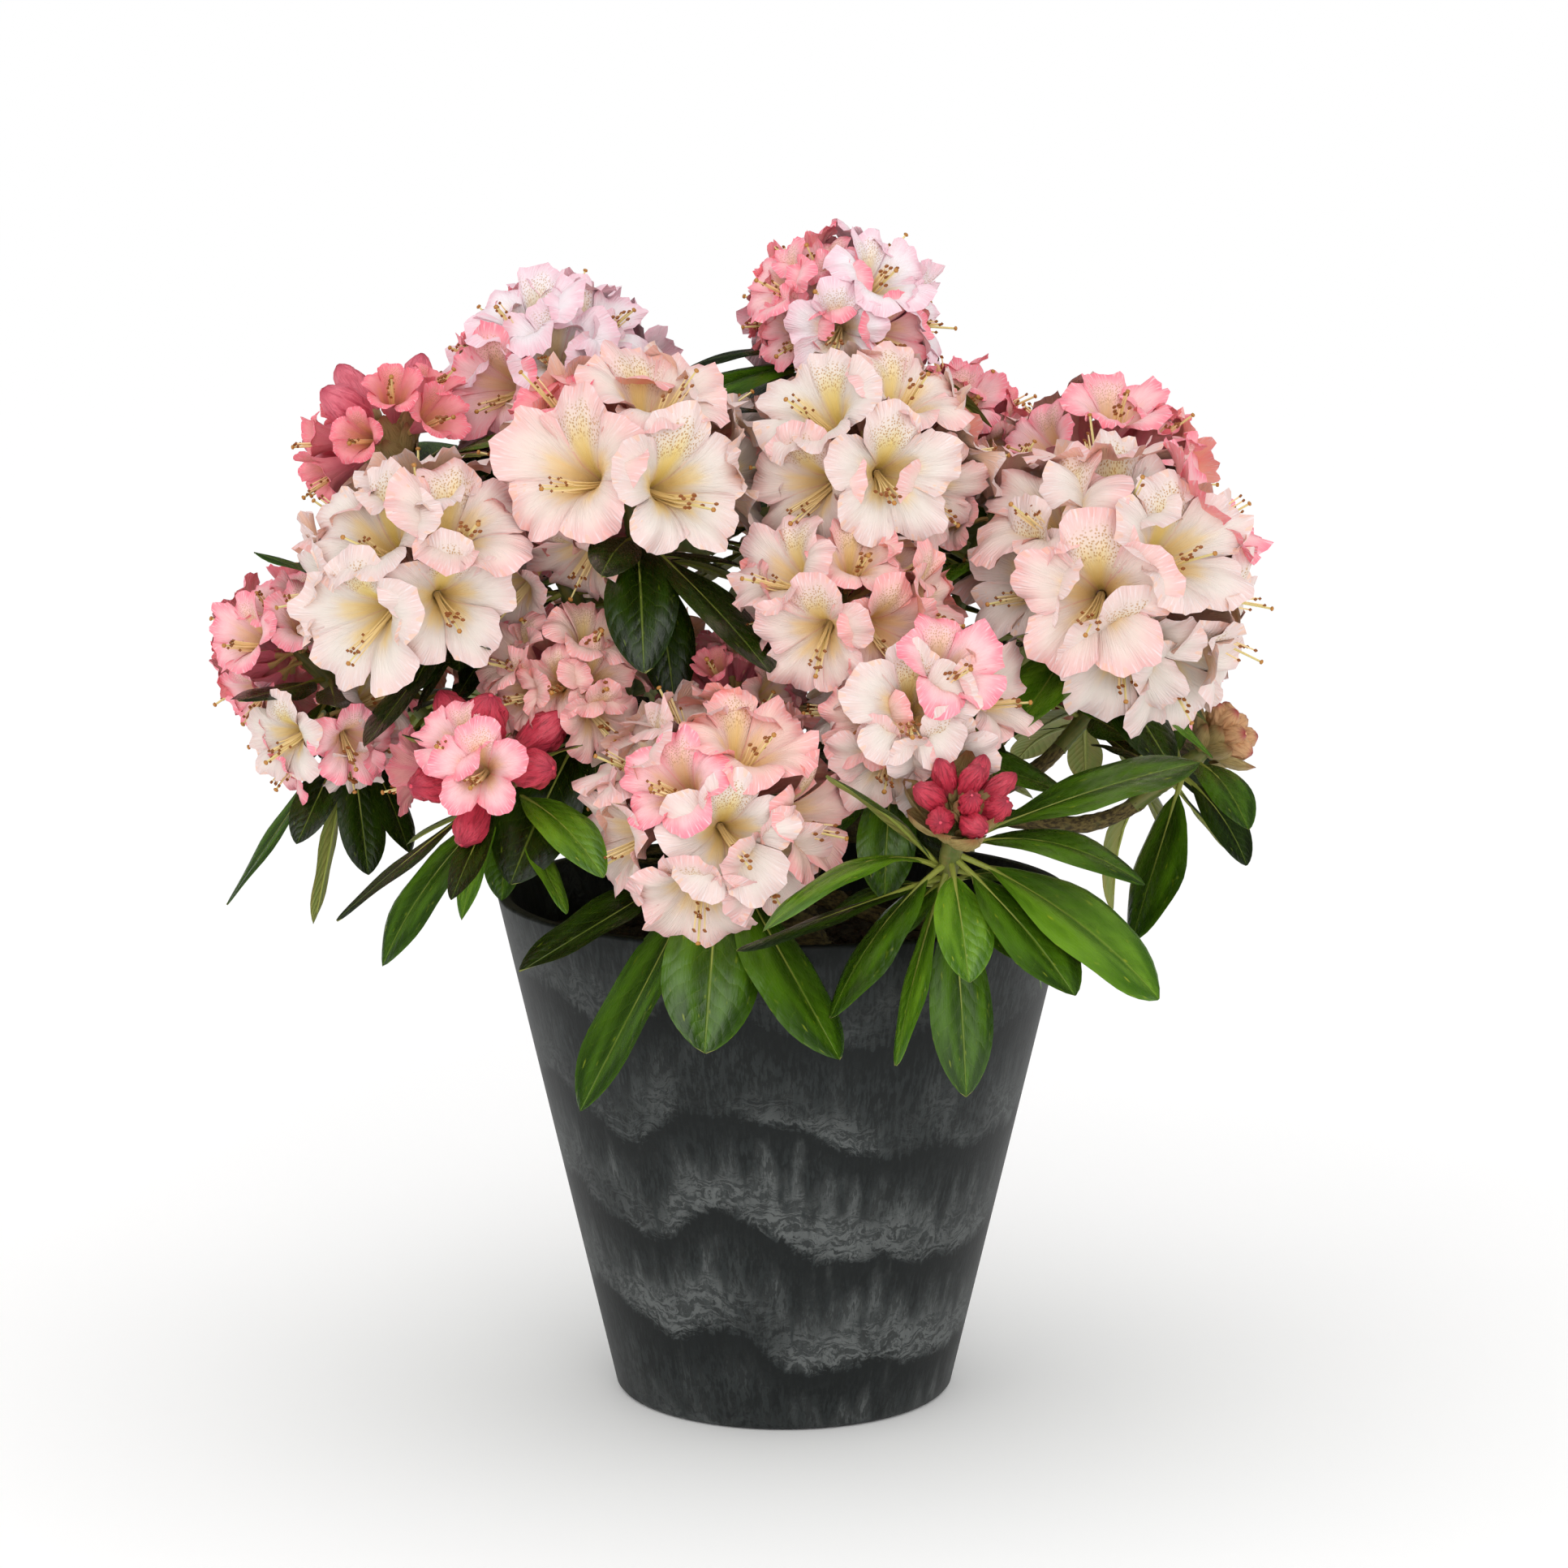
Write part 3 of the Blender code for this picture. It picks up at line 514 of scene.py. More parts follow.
def head_slope(shoot, share):
    """How far a share of a head's surface reaches down from its top, as an angle."""
    spread = HEAD_SPREAD if shoot.flowers else BUD_SPREAD
    return math.acos(1 - (1 - math.cos(spread)) * share)


def head_ways(shoot, chance):
    """The directions of a head's flowers and buds, in a spiral from the top of the head down."""
    count = shoot.flowers + shoot.buds
    ways = []
    for number in range(count):
        slope = head_slope(shoot, (number + 0.5) / count) + chance.uniform(-WAY_JITTER, WAY_JITTER)
        angle = math.radians(shoot.turn) + number * GOLDEN_ANGLE + chance.uniform(-WAY_JITTER, WAY_JITTER)
        ways.append(tilted(shoot.way, slope, angle))
    return ways


def nudge(chance, size, attempt):
    """A random shift, which grows with each attempt."""
    return Vector([chance.uniform(-1, 1) for axis in range(3)]) * size * attempt


def is_bud(shoot, number):
    """Whether a place in the head's spiral holds a bud."""
    first = 1 if shoot.name in OPEN_FIRST else 0
    return first <= number < first + shoot.buds


def grow_flowers(shoot, room, chance):
    """A head's buds and flowers. One that would touch another part is tried aside and smaller."""
    blooms = []
    for number, way in enumerate(head_ways(shoot, chance)):
        make = bud_piece if is_bud(shoot, number) else flower_piece
        size = chance.uniform(SMALLEST_FLOWER, 1.0)
        for attempt in range(FLOWER_TRIES):
            tried = (way + nudge(chance, FLOWER_NUDGE, attempt)).normalized()
            reach = shoot.reach * size * (1 - FLOWER_SHRINK * attempt)
            if room.is_free(shoot.name, make(shoot.heart, tried, reach, TOUCH), ("leaf",)):
                piece = make(shoot.heart, tried, reach)
                blooms.append(Bloom(shoot, piece.kind, number, tried, reach))
                room.add(shoot.name, *piece)
                break
    return blooms


def fill_head(shoot, room, chance, blooms):
    """Smaller flowers, or buds, where the first ones of their head leave a gap that is wide enough."""
    own = [bloom.way for bloom in blooms if bloom.shoot is shoot]
    make = flower_piece if shoot.flowers else bud_piece
    number = shoot.buds + len(shoot.stages) // 2 if shoot.flowers else 0
    added = []
    for attempt in range(FILL_TRIES):
        slope = head_slope(shoot, chance.random())
        tried = tilted(shoot.way, slope, chance.uniform(0, math.tau))
        if own and min(tried.angle(other) for other in own) < FILL_GAP:
            continue
        reach = shoot.reach * chance.uniform(*FILL_REACH)
        if room.is_free(shoot.name, make(shoot.heart, tried, reach * FILL_TEST), ("leaf",)):
            piece = make(shoot.heart, tried, reach)
            own.append(tried)
            added.append(Bloom(shoot, piece.kind, number, tried, reach))
            room.add(shoot.name, *piece)
    return added


def grow_leaf(shoot, room, *shape):
    """One leaf, if it has room: its part beyond the stem touches nothing, its own flowers too."""
    if not room.is_free(shoot.name, leaf_piece(*shape, TOUCH, STALK), ("flower", "bud", "leaf")):
        return None
    if not room.is_free(shoot.name, leaf_piece(*shape, TOUCH)):
        return None
    room.add(shoot.name, *leaf_piece(*shape))
    return Blade(shoot, *shape)


def leaf_root(shoot, number):
    """Where a leaf leaves the stem: each one a little lower than the one before it."""
    return shoot.heart - shoot.way * (LEAVES_BELOW + LEAF_STEP * number)


def grow_known_leaves(shoot, room, chance):
    """The leaves whose tips the table gives."""
    blades = []
    steepest = 0.0 if shoot.name in HANGING else STEEPEST_ARCH
    for number, (*tip, share) in enumerate(LEAF_TIPS.get(shoot.name, ())):
        root = leaf_root(shoot, number)
        for attempt in range(KNOWN_TRIES):
            reach = Vector(tip) * MM + nudge(chance, KNOWN_NUDGE, attempt) - root
            start_way = (reach.normalized() + Vector((0, 0, chance.uniform(0.0, steepest)))).normalized()
            width = LEAF_WIDTH * share * min(reach.length / LEAF_LENGTH, WIDEST_LEAF)
            blade = grow_leaf(shoot, room, root, start_way, root + reach, width)
            if blade:
                blades.append(blade)
                break
    return blades


def grow_whorl(shoot, room, chance, grown, leaves, size=1.0):
    """The rest of a shoot's leaves, in a spiral round its stem, drooping with their weight."""
    blades = []
    for number in range(grown, leaves):
        root = leaf_root(shoot, number)
        for attempt in range(WHORL_TRIES):
            angle = math.radians(shoot.turn) + WHORL_TURN + number * GOLDEN_ANGLE
            angle += chance.uniform(-WHORL_JITTER, WHORL_JITTER) * (attempt + 2)
            side = around(shoot.way, angle)
            start_way = (side + shoot.way * chance.uniform(*WHORL_RISE)).normalized()
            length = size * LEAF_LENGTH * chance.uniform(SHORTEST_LEAF, 1.0) * (1 - LEAF_SHRINK * attempt)
            droop = Vector((0, 0, chance.uniform(*WHORL_DROOP)))
            tip = root + (start_way + side * WHORL_ASIDE - droop).normalized() * length
            blade = grow_leaf(shoot, room, root, start_way, tip, LEAF_WIDTH * length / LEAF_LENGTH)
            if blade:
                blades.append(blade)
                break
    return blades


def grow_heads(limbs):
    """All flowers, buds and leaves, and after them the smaller leaves that still find room."""
    room = Room()
    room.add("planter", "wall", *turned_skin(pot_profile(), POT_SIDES))
    for name, limb in limbs.items():
        room.add(name, "limb", *tube(limb, TRUNK_SIDES if name == "trunk" else LIMB_SIDES))
    for shoot in SHOOTS:
        room.add(shoot.name, *stem_piece(shoot))
    chances = {shoot.name: random.Random(number + GROWTH_SEED) for number, shoot in enumerate(SHOOTS)}
    blooms = []
    blades = []
    known = {}
    for shoot in SHOOTS:
        known[shoot.name] = grow_known_leaves(shoot, room, chances[shoot.name])
        blades += known[shoot.name]
    for shoot in SHOOTS:
        blooms += grow_flowers(shoot, room, chances[shoot.name])
    for shoot in SHOOTS:
        blades += grow_whorl(shoot, room, chances[shoot.name], len(known[shoot.name]), shoot.leaves)
    for number, shoot in enumerate(SHOOTS):
        blooms += fill_head(shoot, room, random.Random(number + FILL_SEED), blooms)
    for shoot in SHOOTS:
        last = shoot.leaves + SMALL_LEAVES
        blades += grow_whorl(shoot, room, chances[shoot.name], shoot.leaves, last, SMALL_LEAF)
    return blooms, blades


def pot_profile():
    """The planter's section, from the middle of its underside round to the middle of its floor."""
    inner_foot = POT_BASE_RADIUS + POT_SLOPE * POT_FLOOR - POT_WALL
    return ((0, 0), (POT_BASE_RADIUS - POT_EDGE, 0), (POT_BASE_RADIUS + POT_SLOPE * POT_EDGE, POT_EDGE),
            (POT_RIM_RADIUS, POT_HEIGHT), (POT_RIM_RADIUS - POT_WALL, POT_HEIGHT),
            (inner_foot, POT_FLOOR), (0, POT_FLOOR))


def turned_skin(profile, sides):
    """The closed skin of a section turned round the Z axis; its ends lie on the axis."""
    points = [Vector((0, 0, profile[0][1]))]
    for radius, height in profile[1:-1]:
        points += ring(Vector((0, 0, height)), Vector((1, 0, 0)), Vector((0, 1, 0)), radius, sides)
    points.append(Vector((0, 0, profile[-1][1])))
    last = len(points) - 1 - sides
    faces = [(0, 1 + (step + 1) % sides, 1 + step) for step in range(sides)]
    for first in range(1, last, sides):
        faces += bridge(first, first + sides, sides)
    return points, faces + [(last + sides, last + step, last + (step + 1) % sides) for step in range(sides)]


# Meshes joined from sheets and tubes

TILE_EDGE = 0.02                # the part of a map tile that stays empty on each side


def corners(grid):
    """The four corners of each cell of a grid: along its rows' direction first, then across."""
    cells = np.stack((grid[:-1, :-1], grid[1:, :-1], grid[1:, 1:], grid[:-1, 1:]), 2)
    return cells.reshape(-1, 4, *grid.shape[2:])


def unit(vectors):
    """Vectors scaled to length one."""
    return vectors / np.maximum(np.linalg.norm(vectors, axis=-1, keepdims=True), 1e-12)


def grid_places(rows, columns):
    """The place of each grid point in its map tile: across from 0 to 1, and along from 0 to 1."""
    along, side = np.meshgrid(np.linspace(0, 1, rows), np.linspace(0, 1, columns), indexing="ij")
    return np.stack((side, along), -1)


def new_object(name, data):
    """A new object in the scene."""
    item = bpy.data.objects.new(name, data)
    bpy.context.scene.collection.objects.link(item)
    return item


class Skin:
    """Collects sheets and tubes for one joined mesh, with a tile of its map for each slot."""

    def __init__(self, name, materials, tiles=2):
        self.name = name
        self.materials = materials
        self.tiles = tiles
        self.points = []
        self.patches = []
        self.count = 0

    def add(self, points, *patches):
        """Adds points and patches of faces among them, each with its places in its slot's tile."""
        for faces, places, slot in patches:
            corner = np.array((slot % self.tiles, slot // self.tiles))
            inside = (TILE_EDGE + places * (1 - 2 * TILE_EDGE) + corner) / self.tiles
            self.patches.append((faces + self.count, inside, np.full(len(faces), slot)))
        self.points.append(points)
        self.count += len(points)

    def add_sheet(self, grid, thickness, top_slot, under_slot):
        """A thin closed sheet: a grid of points for its top, and its underside a thickness below."""
        rows, columns = grid.shape[:2]
        places = corners(grid_places(rows, columns))
        normal = unit(np.cross(np.gradient(grid, axis=0), np.gradient(grid, axis=1)))
        under = (grid - normal * thickness)[1:-1, 1:-1].reshape(-1, 3)
        top = np.arange(rows * columns).reshape(rows, columns)
        below = top.copy()
        below[1:-1, 1:-1] = rows * columns + np.arange(len(under)).reshape(rows - 2, columns - 2)
        self.add(np.concatenate((grid.reshape(-1, 3), under)), (corners(top), places, top_slot),
                 (corners(below)[:, ::-1], places[:, ::-1], under_slot))

    def add_tube(self, grid, slot, alongs=None):
        """A closed tube from its rings, which have an even number of points."""
        rings, sides = grid.shape[:2]
        places = grid_places(rings, sides + 1)
        if alongs is not None:
            places[..., 1] = alongs[:, None]
        index = np.arange(rings * sides).reshape(rings, sides)
        around_index = np.concatenate((index, index[:, :1]), 1)
        cap = np.array([(0, step, step + 1, step + 2) for step in range(1, sides - 2, 2)])
        flat = np.full((len(cap), 4, 2), 0.5)
        self.add(grid.reshape(-1, 3), (corners(around_index), corners(places), slot),
                 (index[0][cap], flat, slot), (index[-1][cap][:, ::-1], flat, slot))

    def build(self, sharp=60):
        """The joined object, with its map and materials, smooth up to a sharp angle in degrees."""
        points = np.concatenate(self.points)
        faces, places, slots = (np.concatenate(column) for column in zip(*self.patches))
        mesh = bpy.data.meshes.new(self.name)
        mesh.vertices.add(len(points))
        mesh.loops.add(faces.size)
        mesh.polygons.add(len(faces))
        mesh.vertices.foreach_set("co", points.astype(np.float32).ravel())
        mesh.loops.foreach_set("vertex_index", faces.astype(np.int32).ravel())
        mesh.polygons.foreach_set("loop_start", np.arange(0, faces.size, 4, dtype=np.int32))
        mesh.polygons.foreach_set("material_index", slots.astype(np.int32))
        mesh.update(calc_edges=True)
        mesh.uv_layers.new(name="OFBake").uv.foreach_set("vector", places.astype(np.float32).ravel())
        for material in self.materials:
            mesh.materials.append(material)
        mesh.shade_smooth()
        mesh.set_sharp_from_angle(angle=math.radians(sharp))
        return new_object(self.name, mesh)


def tube_grid(line, radii, sides):
    """Rings of points round a line. The radii are one for each ring, or one for each point."""
    line = np.asarray(line, dtype=float)
    radii = np.asarray(radii, dtype=float).reshape(len(line), -1, 1)
    ways = unit(np.gradient(line, axis=0))
    first = np.array(across(Vector(ways[0]))[0])
    level = unit(first - ways * (ways @ first)[:, None])[:, None]
    up = np.cross(ways[:, None], level)
    angles = -np.arange(sides)[None, :, None] * math.tau / sides
    return line[:, None] + radii * (np.cos(angles) * level + np.sin(angles) * up)


# Flowers

PETAL_COLUMNS = 19
LIMB_ROWS = 6
ROW_CROWDING = 0.85             # below 1, the rows of a lobe lie closer together towards its rim
PETAL_THICKNESS = 0.00035
LOBE_SWEEP = math.radians(112)  # how far a lobe's outline turns from its tip to each end
LOBE_CENTRE = 0.345             # these are shares of the flower's reach, as the solids' are
LOBE_RADIUS = 0.236
PETAL_SPREAD = 0.58
TUBE_FOOT = 0.38
TUBE_FOOT_RADIUS = 0.035
NECK_HEIGHT = 0.60
NECK_RADIUS = 0.095
FACE_HEIGHT = 0.97
FLARE_BEND = 2.7                # how fast the tube bends over into the flat face
TIP_NOTCH = 0.10
NOTCH_WIDTH = 0.20
OUTLINE_WAVES = ((0.062, 2.7), (0.046, 5.9), (0.028, 11.3))    # each one's height and pace
RUFFLE = 0.036
CRINKLE = 0.017


class Stage(NamedTuple):
    """A stage of the flowers: how far it is open, from and to, and its colours."""

    name: str
    openness: tuple
    throat: str
    middle: str
    margin: str
    outside: str
    # the colour of the outer midline streak, and the painted shade in the creases between the lobes
    streak_and_crease_shade: str
    edge: float                 # how strong the margin's colour is
    flare: float                # how strong the yellow flare is


# Each stage's throat and outside colours are partly the flower's own and partly painted warm shade: they are
# deeper and warmer than the petal, for the glow that light through the petals gives the throat and the backs
STAGES = {
    "R": Stage("rose", (0.40, 0.62), "#ffb690", "#ffa2a6", "#ff6e84", "#ff9ba2", "#ff8698", 0.95, 0.10),
    "P": Stage("pink", (0.78, 0.97), "#ffd2aa", "#ffced0", "#ff8297", "#ffb6b2", "#ff8a9e", 0.95, 0.30),
    "S": Stage("salmon", (0.90, 1.00), "#ffd39a", "#f6d3c7", "#fba4a6", "#fbbea4", "#fb9a92", 0.90, 0.45),
    "B": Stage("blush", (0.94, 1.04), "#fbd89c", "#ecdad0", "#f0b6b5", "#f6caae", "#f3a9a1", 0.85, 0.55),
    "C": Stage("cream", (0.96, 1.05), "#fadb96", "#e9dfd6", "#ebc7c4", "#f6d1b0", "#f0bba6", 0.75, 0.65),
    "W": Stage("white", (0.92, 1.03), "#fbe2bc", "#f7eff2", "#f6c6d3", "#f9dde2", "#f2a6ba", 0.95, 0.30),
}


def floret_grids(openness, chance):
    """The lobes of one flower in its own frame, as an array of lobe, row, column and place."""
    def vary(low, high):
        return np.array([chance.uniform(low, high) for lobe in range(LOBES)])[:, None, None]

    side = np.linspace(-1, 1, PETAL_COLUMNS)[None, None, :]
    sweep = side * LOBE_SWEEP
    sector = np.exp(1j * side * math.pi / LOBES)
    neck = NECK_RADIUS * (0.75 + 0.25 * openness)
    first, second, third, fourth = (vary(0, math.tau) for step in range(4))
    # the lobes, each a fan of lines from the neck to its own wavy outline
    out = np.linspace(0, 1, LIMB_ROWS)[None, :, None] ** ROW_CROWDING
    size = LOBE_RADIUS * vary(0.90, 1.08)
    outline = 1 - TIP_NOTCH * vary(0.2, 1.3) * np.exp(-(sweep / NOTCH_WIDTH) ** 2)
    for phase, (height, pace) in zip((first, second, third), OUTLINE_WAVES):
        outline = outline + height * np.sin(pace * sweep + phase)
    outline = outline * size
    rim = LOBE_CENTRE + outline * np.cos(sweep) + 1j * outline * np.sin(sweep) * vary(0.98, 1.14)
    limb = neck * sector * (1 - out) + rim * out
    # their height: the tube bends over into the flat face
    far = np.abs(limb) - neck
    share = np.clip(far / (PETAL_SPREAD - neck), 0, 1.2)
    bend = (1 - np.exp(-FLARE_BEND * share)) / (1 - math.exp(-FLARE_BEND))
    height = NECK_HEIGHT + (FACE_HEIGHT - NECK_HEIGHT) * bend
    height = height + 0.012 * side ** 3 * out + 0.40 * (1 - openness) * (far - 0.12)
    # lobes tilt, twist, curl back, cup and rise over one another; their margins ruffle and crinkle
    free = np.clip((share - 0.30) / 0.5, 0, 1) ** 1.2
    ruffle = RUFFLE * openness ** 2 * (np.sin(2.9 * sweep + first) + 0.8 * np.sin(5.3 * sweep + second))
    crinkle = CRINKLE * openness ** 2 * np.sin(10.7 * sweep + third + 2.0 * np.sin(2.3 * sweep))
    for low, high, lift in ((-0.26, 0.12, far * share),
                            (-0.20, 0.20, side * far * free),
                            (0.0, -0.11, out ** 4 * np.cos(sweep).clip(0, 1)),
                            (0.0, -0.03, side ** 4 * np.sin(math.pi * out ** 1.3)),
                            (-0.02, 0.03, np.cos(side * math.pi) * np.sin(0.8 * math.pi * out)),
                            (0.0, 0.016, np.cos(2 * side * math.pi + fourth) * share * out),
                            (0.6, 1.4, ruffle * out ** 2.2),
                            (0.5, 1.3, crinkle * out ** 5)):
        height = height + vary(low, high) * lift
    # the foot of the tube comes first, and each lobe turns to its own place
    limb = limb * (openness + (1 - openness) * neck / (far + neck))
    foot = TUBE_FOOT_RADIUS * sector + np.zeros((LOBES, 1, 1))
    turn = np.exp(1j * (UPPER_LOBE + np.arange(LOBES) * math.tau / LOBES))[:, None, None]
    flat = np.concatenate((foot, limb), 1) * turn
    return np.stack((flat.real, flat.imag, np.concatenate((TUBE_FOOT + 0 * foot.real, height), 1)), -1)


FILAMENTS = 10
FILAMENT_RADIUS = 0.00044
FILAMENT_TAPER = (1.2, 0.8)
STYLE_GIRTH = 1.4               # the style is this much thicker than a filament
FILAMENT_FOOT = TUBE_FOOT + 0.02
ANTHER = 0.0010
ANTHER_SHAPE = (0.4, 0.85, 0.4)
STIGMA = 0.0011
STIGMA_SHAPE = (0.5, 1.1, 1.0, 0.3)

# How far the stamens lean down and sway aside, where they end, and how far each stands from the others
STAMEN_LEAN = (0.10, 0.22)
STAMEN_SWAY = (-0.10, 0.10)
STAMEN_ENDS = (0.84, 1.12)
STAMEN_SPREAD = (0.01, 0.055)
STYLE_ENDS = (1.12, 1.20)
STYLE_SPREAD = 0.02


def add_stamens(skin, bloom, rows, openness, chance):
    """Stamens that leave the tube's foot, lean to the flower's lower side and curve up at their ends."""
    lean = chance.uniform(*STAMEN_LEAN) * openness
    sway = chance.uniform(*STAMEN_SWAY) * openness
    along = np.linspace(0, 1, 4)[:, None]
    for number in range(FILAMENTS + 1):
        is_style = number == FILAMENTS
        aside = np.array((math.cos(number * GOLDEN_ANGLE), math.sin(number * GOLDEN_ANGLE)))
        spread = STYLE_SPREAD if is_style else chance.uniform(*STAMEN_SPREAD) * openness
        height = chance.uniform(*(STYLE_ENDS if is_style else STAMEN_ENDS))
        rise = height - FILAMENT_FOOT
        share = rise / (1.1 - FILAMENT_FOOT)
        base = np.array((*aside * 0.02, FILAMENT_FOOT))
        middle = np.array((*aside * spread + (0.35 * sway, -0.75 * lean), FILAMENT_FOOT + 0.60 * rise))
        end = np.array((*aside * spread * (1.7, 1.5) + (sway * share, -1.1 * lean * share), height))
        line = (1 - along) ** 2 * base + 2 * (1 - along) * along * middle + along ** 2 * end
        line = np.array(bloom.shoot.heart) + (line * bloom.reach) @ rows
        thick = FILAMENT_RADIUS * (STYLE_GIRTH if is_style else 1.0)
        radii = np.linspace(*FILAMENT_TAPER, len(line)) * thick
        skin.add_tube(tube_grid(line, radii, 4), 3 if is_style else 0)
        tip_way = unit(line[-1] - line[-2])
        if is_style:
            knob = line[-1] + tip_way * np.array([-0.4, 0, 0.7, 1.0])[:, None] * STIGMA
            skin.add_tube(tube_grid(knob, np.array(STIGMA_SHAPE) * STIGMA, 6), 2)
        else:
            slant = np.array(across(Vector(tip_way))[0]) * 0.8 + tip_way * 0.6
            knob = line[-1] + slant * np.array([-1.0, 0.0, 1.0])[:, None] * ANTHER
            skin.add_tube(tube_grid(knob, np.array(ANTHER_SHAPE) * ANTHER, 4), 1)


STALK_SHAPE = (1.5, 1.1, 1.0, 1.0, 1.0, 1.05, 1.5, 1.9)
STALK_RADIUS = 0.00105
STALK_ASIDE = 0.7               # how much of the stem's direction a stalk starts with
STALKS_APART = 0.009            # how far above and below the heart the first and last stalk leave


def add_stalk(skin, bloom, share):
    """A flower's stalk, from the stem to a share of its reach. Later flowers leave the stem lower."""
    shoot = bloom.shoot
    place = 1 - 2 * bloom.number / (shoot.flowers + shoot.buds)
    start = shoot.heart + shoot.way * (STALKS_APART * place * shoot.knob)
    start_way = (bloom.way + shoot.way * STALK_ASIDE).normalized()
    end = shoot.heart + bloom.way * bloom.reach * share
    line = curve_between(start, start_way, end, bloom.way, len(STALK_SHAPE) - 1)[0]
    skin.add_tube(tube_grid(line, STALK_RADIUS * np.array(STALK_SHAPE), 6), 1)


def grow_petals(blooms, skins, stamens, stalks):
    """Every open flower: its five lobes in the skin of its stage, its stamens and its stalk."""
    for place, bloom in enumerate(blooms):
        if bloom.kind != "flower":
            continue
        chance = random.Random(PETAL_SEED + place)
        stages = bloom.shoot.stages
        number = bloom.number if bloom.number == 0 else bloom.number - bloom.shoot.buds
        stage = stages[min(number, len(stages) - 1)]
        openness = chance.uniform(*STAGES[stage].openness)
        rows = np.array([*across(bloom.way), bloom.way])
        grids = np.array(bloom.shoot.heart) + (floret_grids(openness, chance) * bloom.reach) @ rows
        for lobe, grid in enumerate(grids):
            skins[stage].add_sheet(grid, PETAL_THICKNESS, 0 if lobe == 0 else 1, 2)
        add_stamens(stamens, bloom, rows, openness, chance)
        add_stalk(stalks, bloom, FILAMENT_FOOT)


# Buds and bracts

BUD_SIDES = 20
BUD_PROFILE = ((0.0, 0.30), (0.06, 0.52), (0.18, 0.76), (0.34, 0.94), (0.50, 1.0), (0.64, 0.96),
               (0.76, 0.84), (0.86, 0.66), (0.94, 0.42), (1.0, 0.12))
BUD_BOW = 0.0025
BUD_WIND = 1.1                  # how far the petals of a bud wind round it, in radians
CREASE = 0.10


class BudLook(NamedTuple):
    """The shape of a head's buds: where they start, how wide they are, and their bracts."""

    foot: float                 # as a share of their reach
    girth: float                # as a share of the solids' bud radius
    slot: int
    bracts: int
    bract_length: float
    bract_width: float


PLUMP_BUDS = BudLook(0.34, 1.50, 0, 2, 0.008, 0.006)
BUD_LOOKS = {"bud_front": BudLook(0.38, 0.98, 0, 2, 0.011, 0.0085),
             "upper_left": PLUMP_BUDS._replace(slot=3),
             "bud_right": BudLook(0.12, 1.00, 1, 3, 0.012, 0.0075)}

# Bracts at the foot of a head with buds: how many, how long, how far they lean out, how much further
# where no flower is open, and how much longer they are on some shoots
HEAD_BRACTS = 12
BRACT_LENGTH = (0.015, 0.022)
BRACT_LEAN = (0.3, 0.7)
CLOSED_LEAN = 1.35
BRACT_GROWTH = {"bud_front": 1.40}
BRACT_THICKNESS = 0.0004


def add_bud(skin, bloom, bud_look, chance):
    """A closed bud: an egg of five folded petals, which are creased and wind round it."""
    radius = BUD_RADIUS * bud_look.girth * chance.uniform(0.9, 1.1)
    heights, girth = np.array(BUD_PROFILE).T[:, :, None]
    bow = np.array(bloom.way.cross(Vector((0.3, 0.5, 0.8))).normalized()) * chance.uniform(-BUD_BOW, BUD_BOW)
    reach = bloom.reach * (bud_look.foot + (1 - bud_look.foot) * heights)
    line = np.array(bloom.shoot.heart) + np.array(bloom.way) * reach + bow * np.sin(math.pi * heights)
    angle = np.arange(BUD_SIDES) * math.tau / BUD_SIDES
    wind = angle + BUD_WIND * heights + chance.uniform(0, math.tau)
    ribs = 0.72 + 0.28 * np.abs(np.cos(2.5 * wind)) ** 0.7
    creases = CREASE * np.sin(7.0 * wind + 5.0 * np.sin(6.0 * heights + chance.uniform(0, 6)))
    skin.add_tube(tube_grid(line, radius * girth * (ribs + creases), BUD_SIDES), bud_look.slot)


def add_bract(skin, base, way, side, length, width):
    """A small cupped scale that hugs a bud or the foot of a flower head."""
    along = np.linspace(0, 1, 6)[:, None, None]
    lateral = np.linspace(-1, 1, 5)[None, :, None]
    half = 0.5 * width * (np.sin(math.pi * (0.12 + 0.85 * along)) ** 0.8)
    bulge = 0.22 * length * np.sin(0.8 * math.pi * along)
    bulge = bulge - 0.35 * width * lateral ** 2 * np.sin(math.pi * along)
    way, side = np.array(way), np.array(side)
    grid = np.array(base) + way * along * length + side * bulge + np.cross(way, side) * half * lateral
    skin.add_sheet(grid, BRACT_THICKNESS, 2, 2)


def grow_buds(blooms, buds, stalks):
    """Every bud with its stalk, and the ochre bracts at the foot of each young head."""
    for place, bloom in enumerate(blooms):
        if bloom.kind != "bud":
            continue
        chance = random.Random(BUD_SEED + place)
        bud_look = BUD_LOOKS.get(bloom.shoot.name, PLUMP_BUDS)
        add_bud(buds, bloom, bud_look, chance)
        add_stalk(stalks, bloom, bud_look.foot + 0.02)
        for number in range(bud_look.bracts):
            side = around(bloom.way, number * GOLDEN_ANGLE + chance.uniform(0, 1))
            base = bloom.shoot.heart + bloom.way * (bloom.reach * bud_look.foot - 0.003) + side * 0.0022
            length = bud_look.bract_length * chance.uniform(0.8, 1.15)
            add_bract(buds, base, bloom.way, side, length, bud_look.bract_width)
    for shoot in SHOOTS:
        if not shoot.buds:
            continue
        chance = random.Random(shoot.name)
        for number in range(HEAD_BRACTS):
            side = around(shoot.way, number * GOLDEN_ANGLE)
            base = shoot.heart - shoot.way * (0.010 - 0.0006 * number) + side * 0.006
            lean = chance.uniform(*BRACT_LEAN) * (1.0 if shoot.flowers else CLOSED_LEAN)
            rise = (shoot.way + side * lean).normalized()
            outward = (side - rise * side.dot(rise)).normalized()
            length = chance.uniform(*BRACT_LENGTH) * BRACT_GROWTH.get(shoot.name, 1.0)
            add_bract(buds, base, rise, outward, length, 0.55 * length + 0.002)


# Leaves

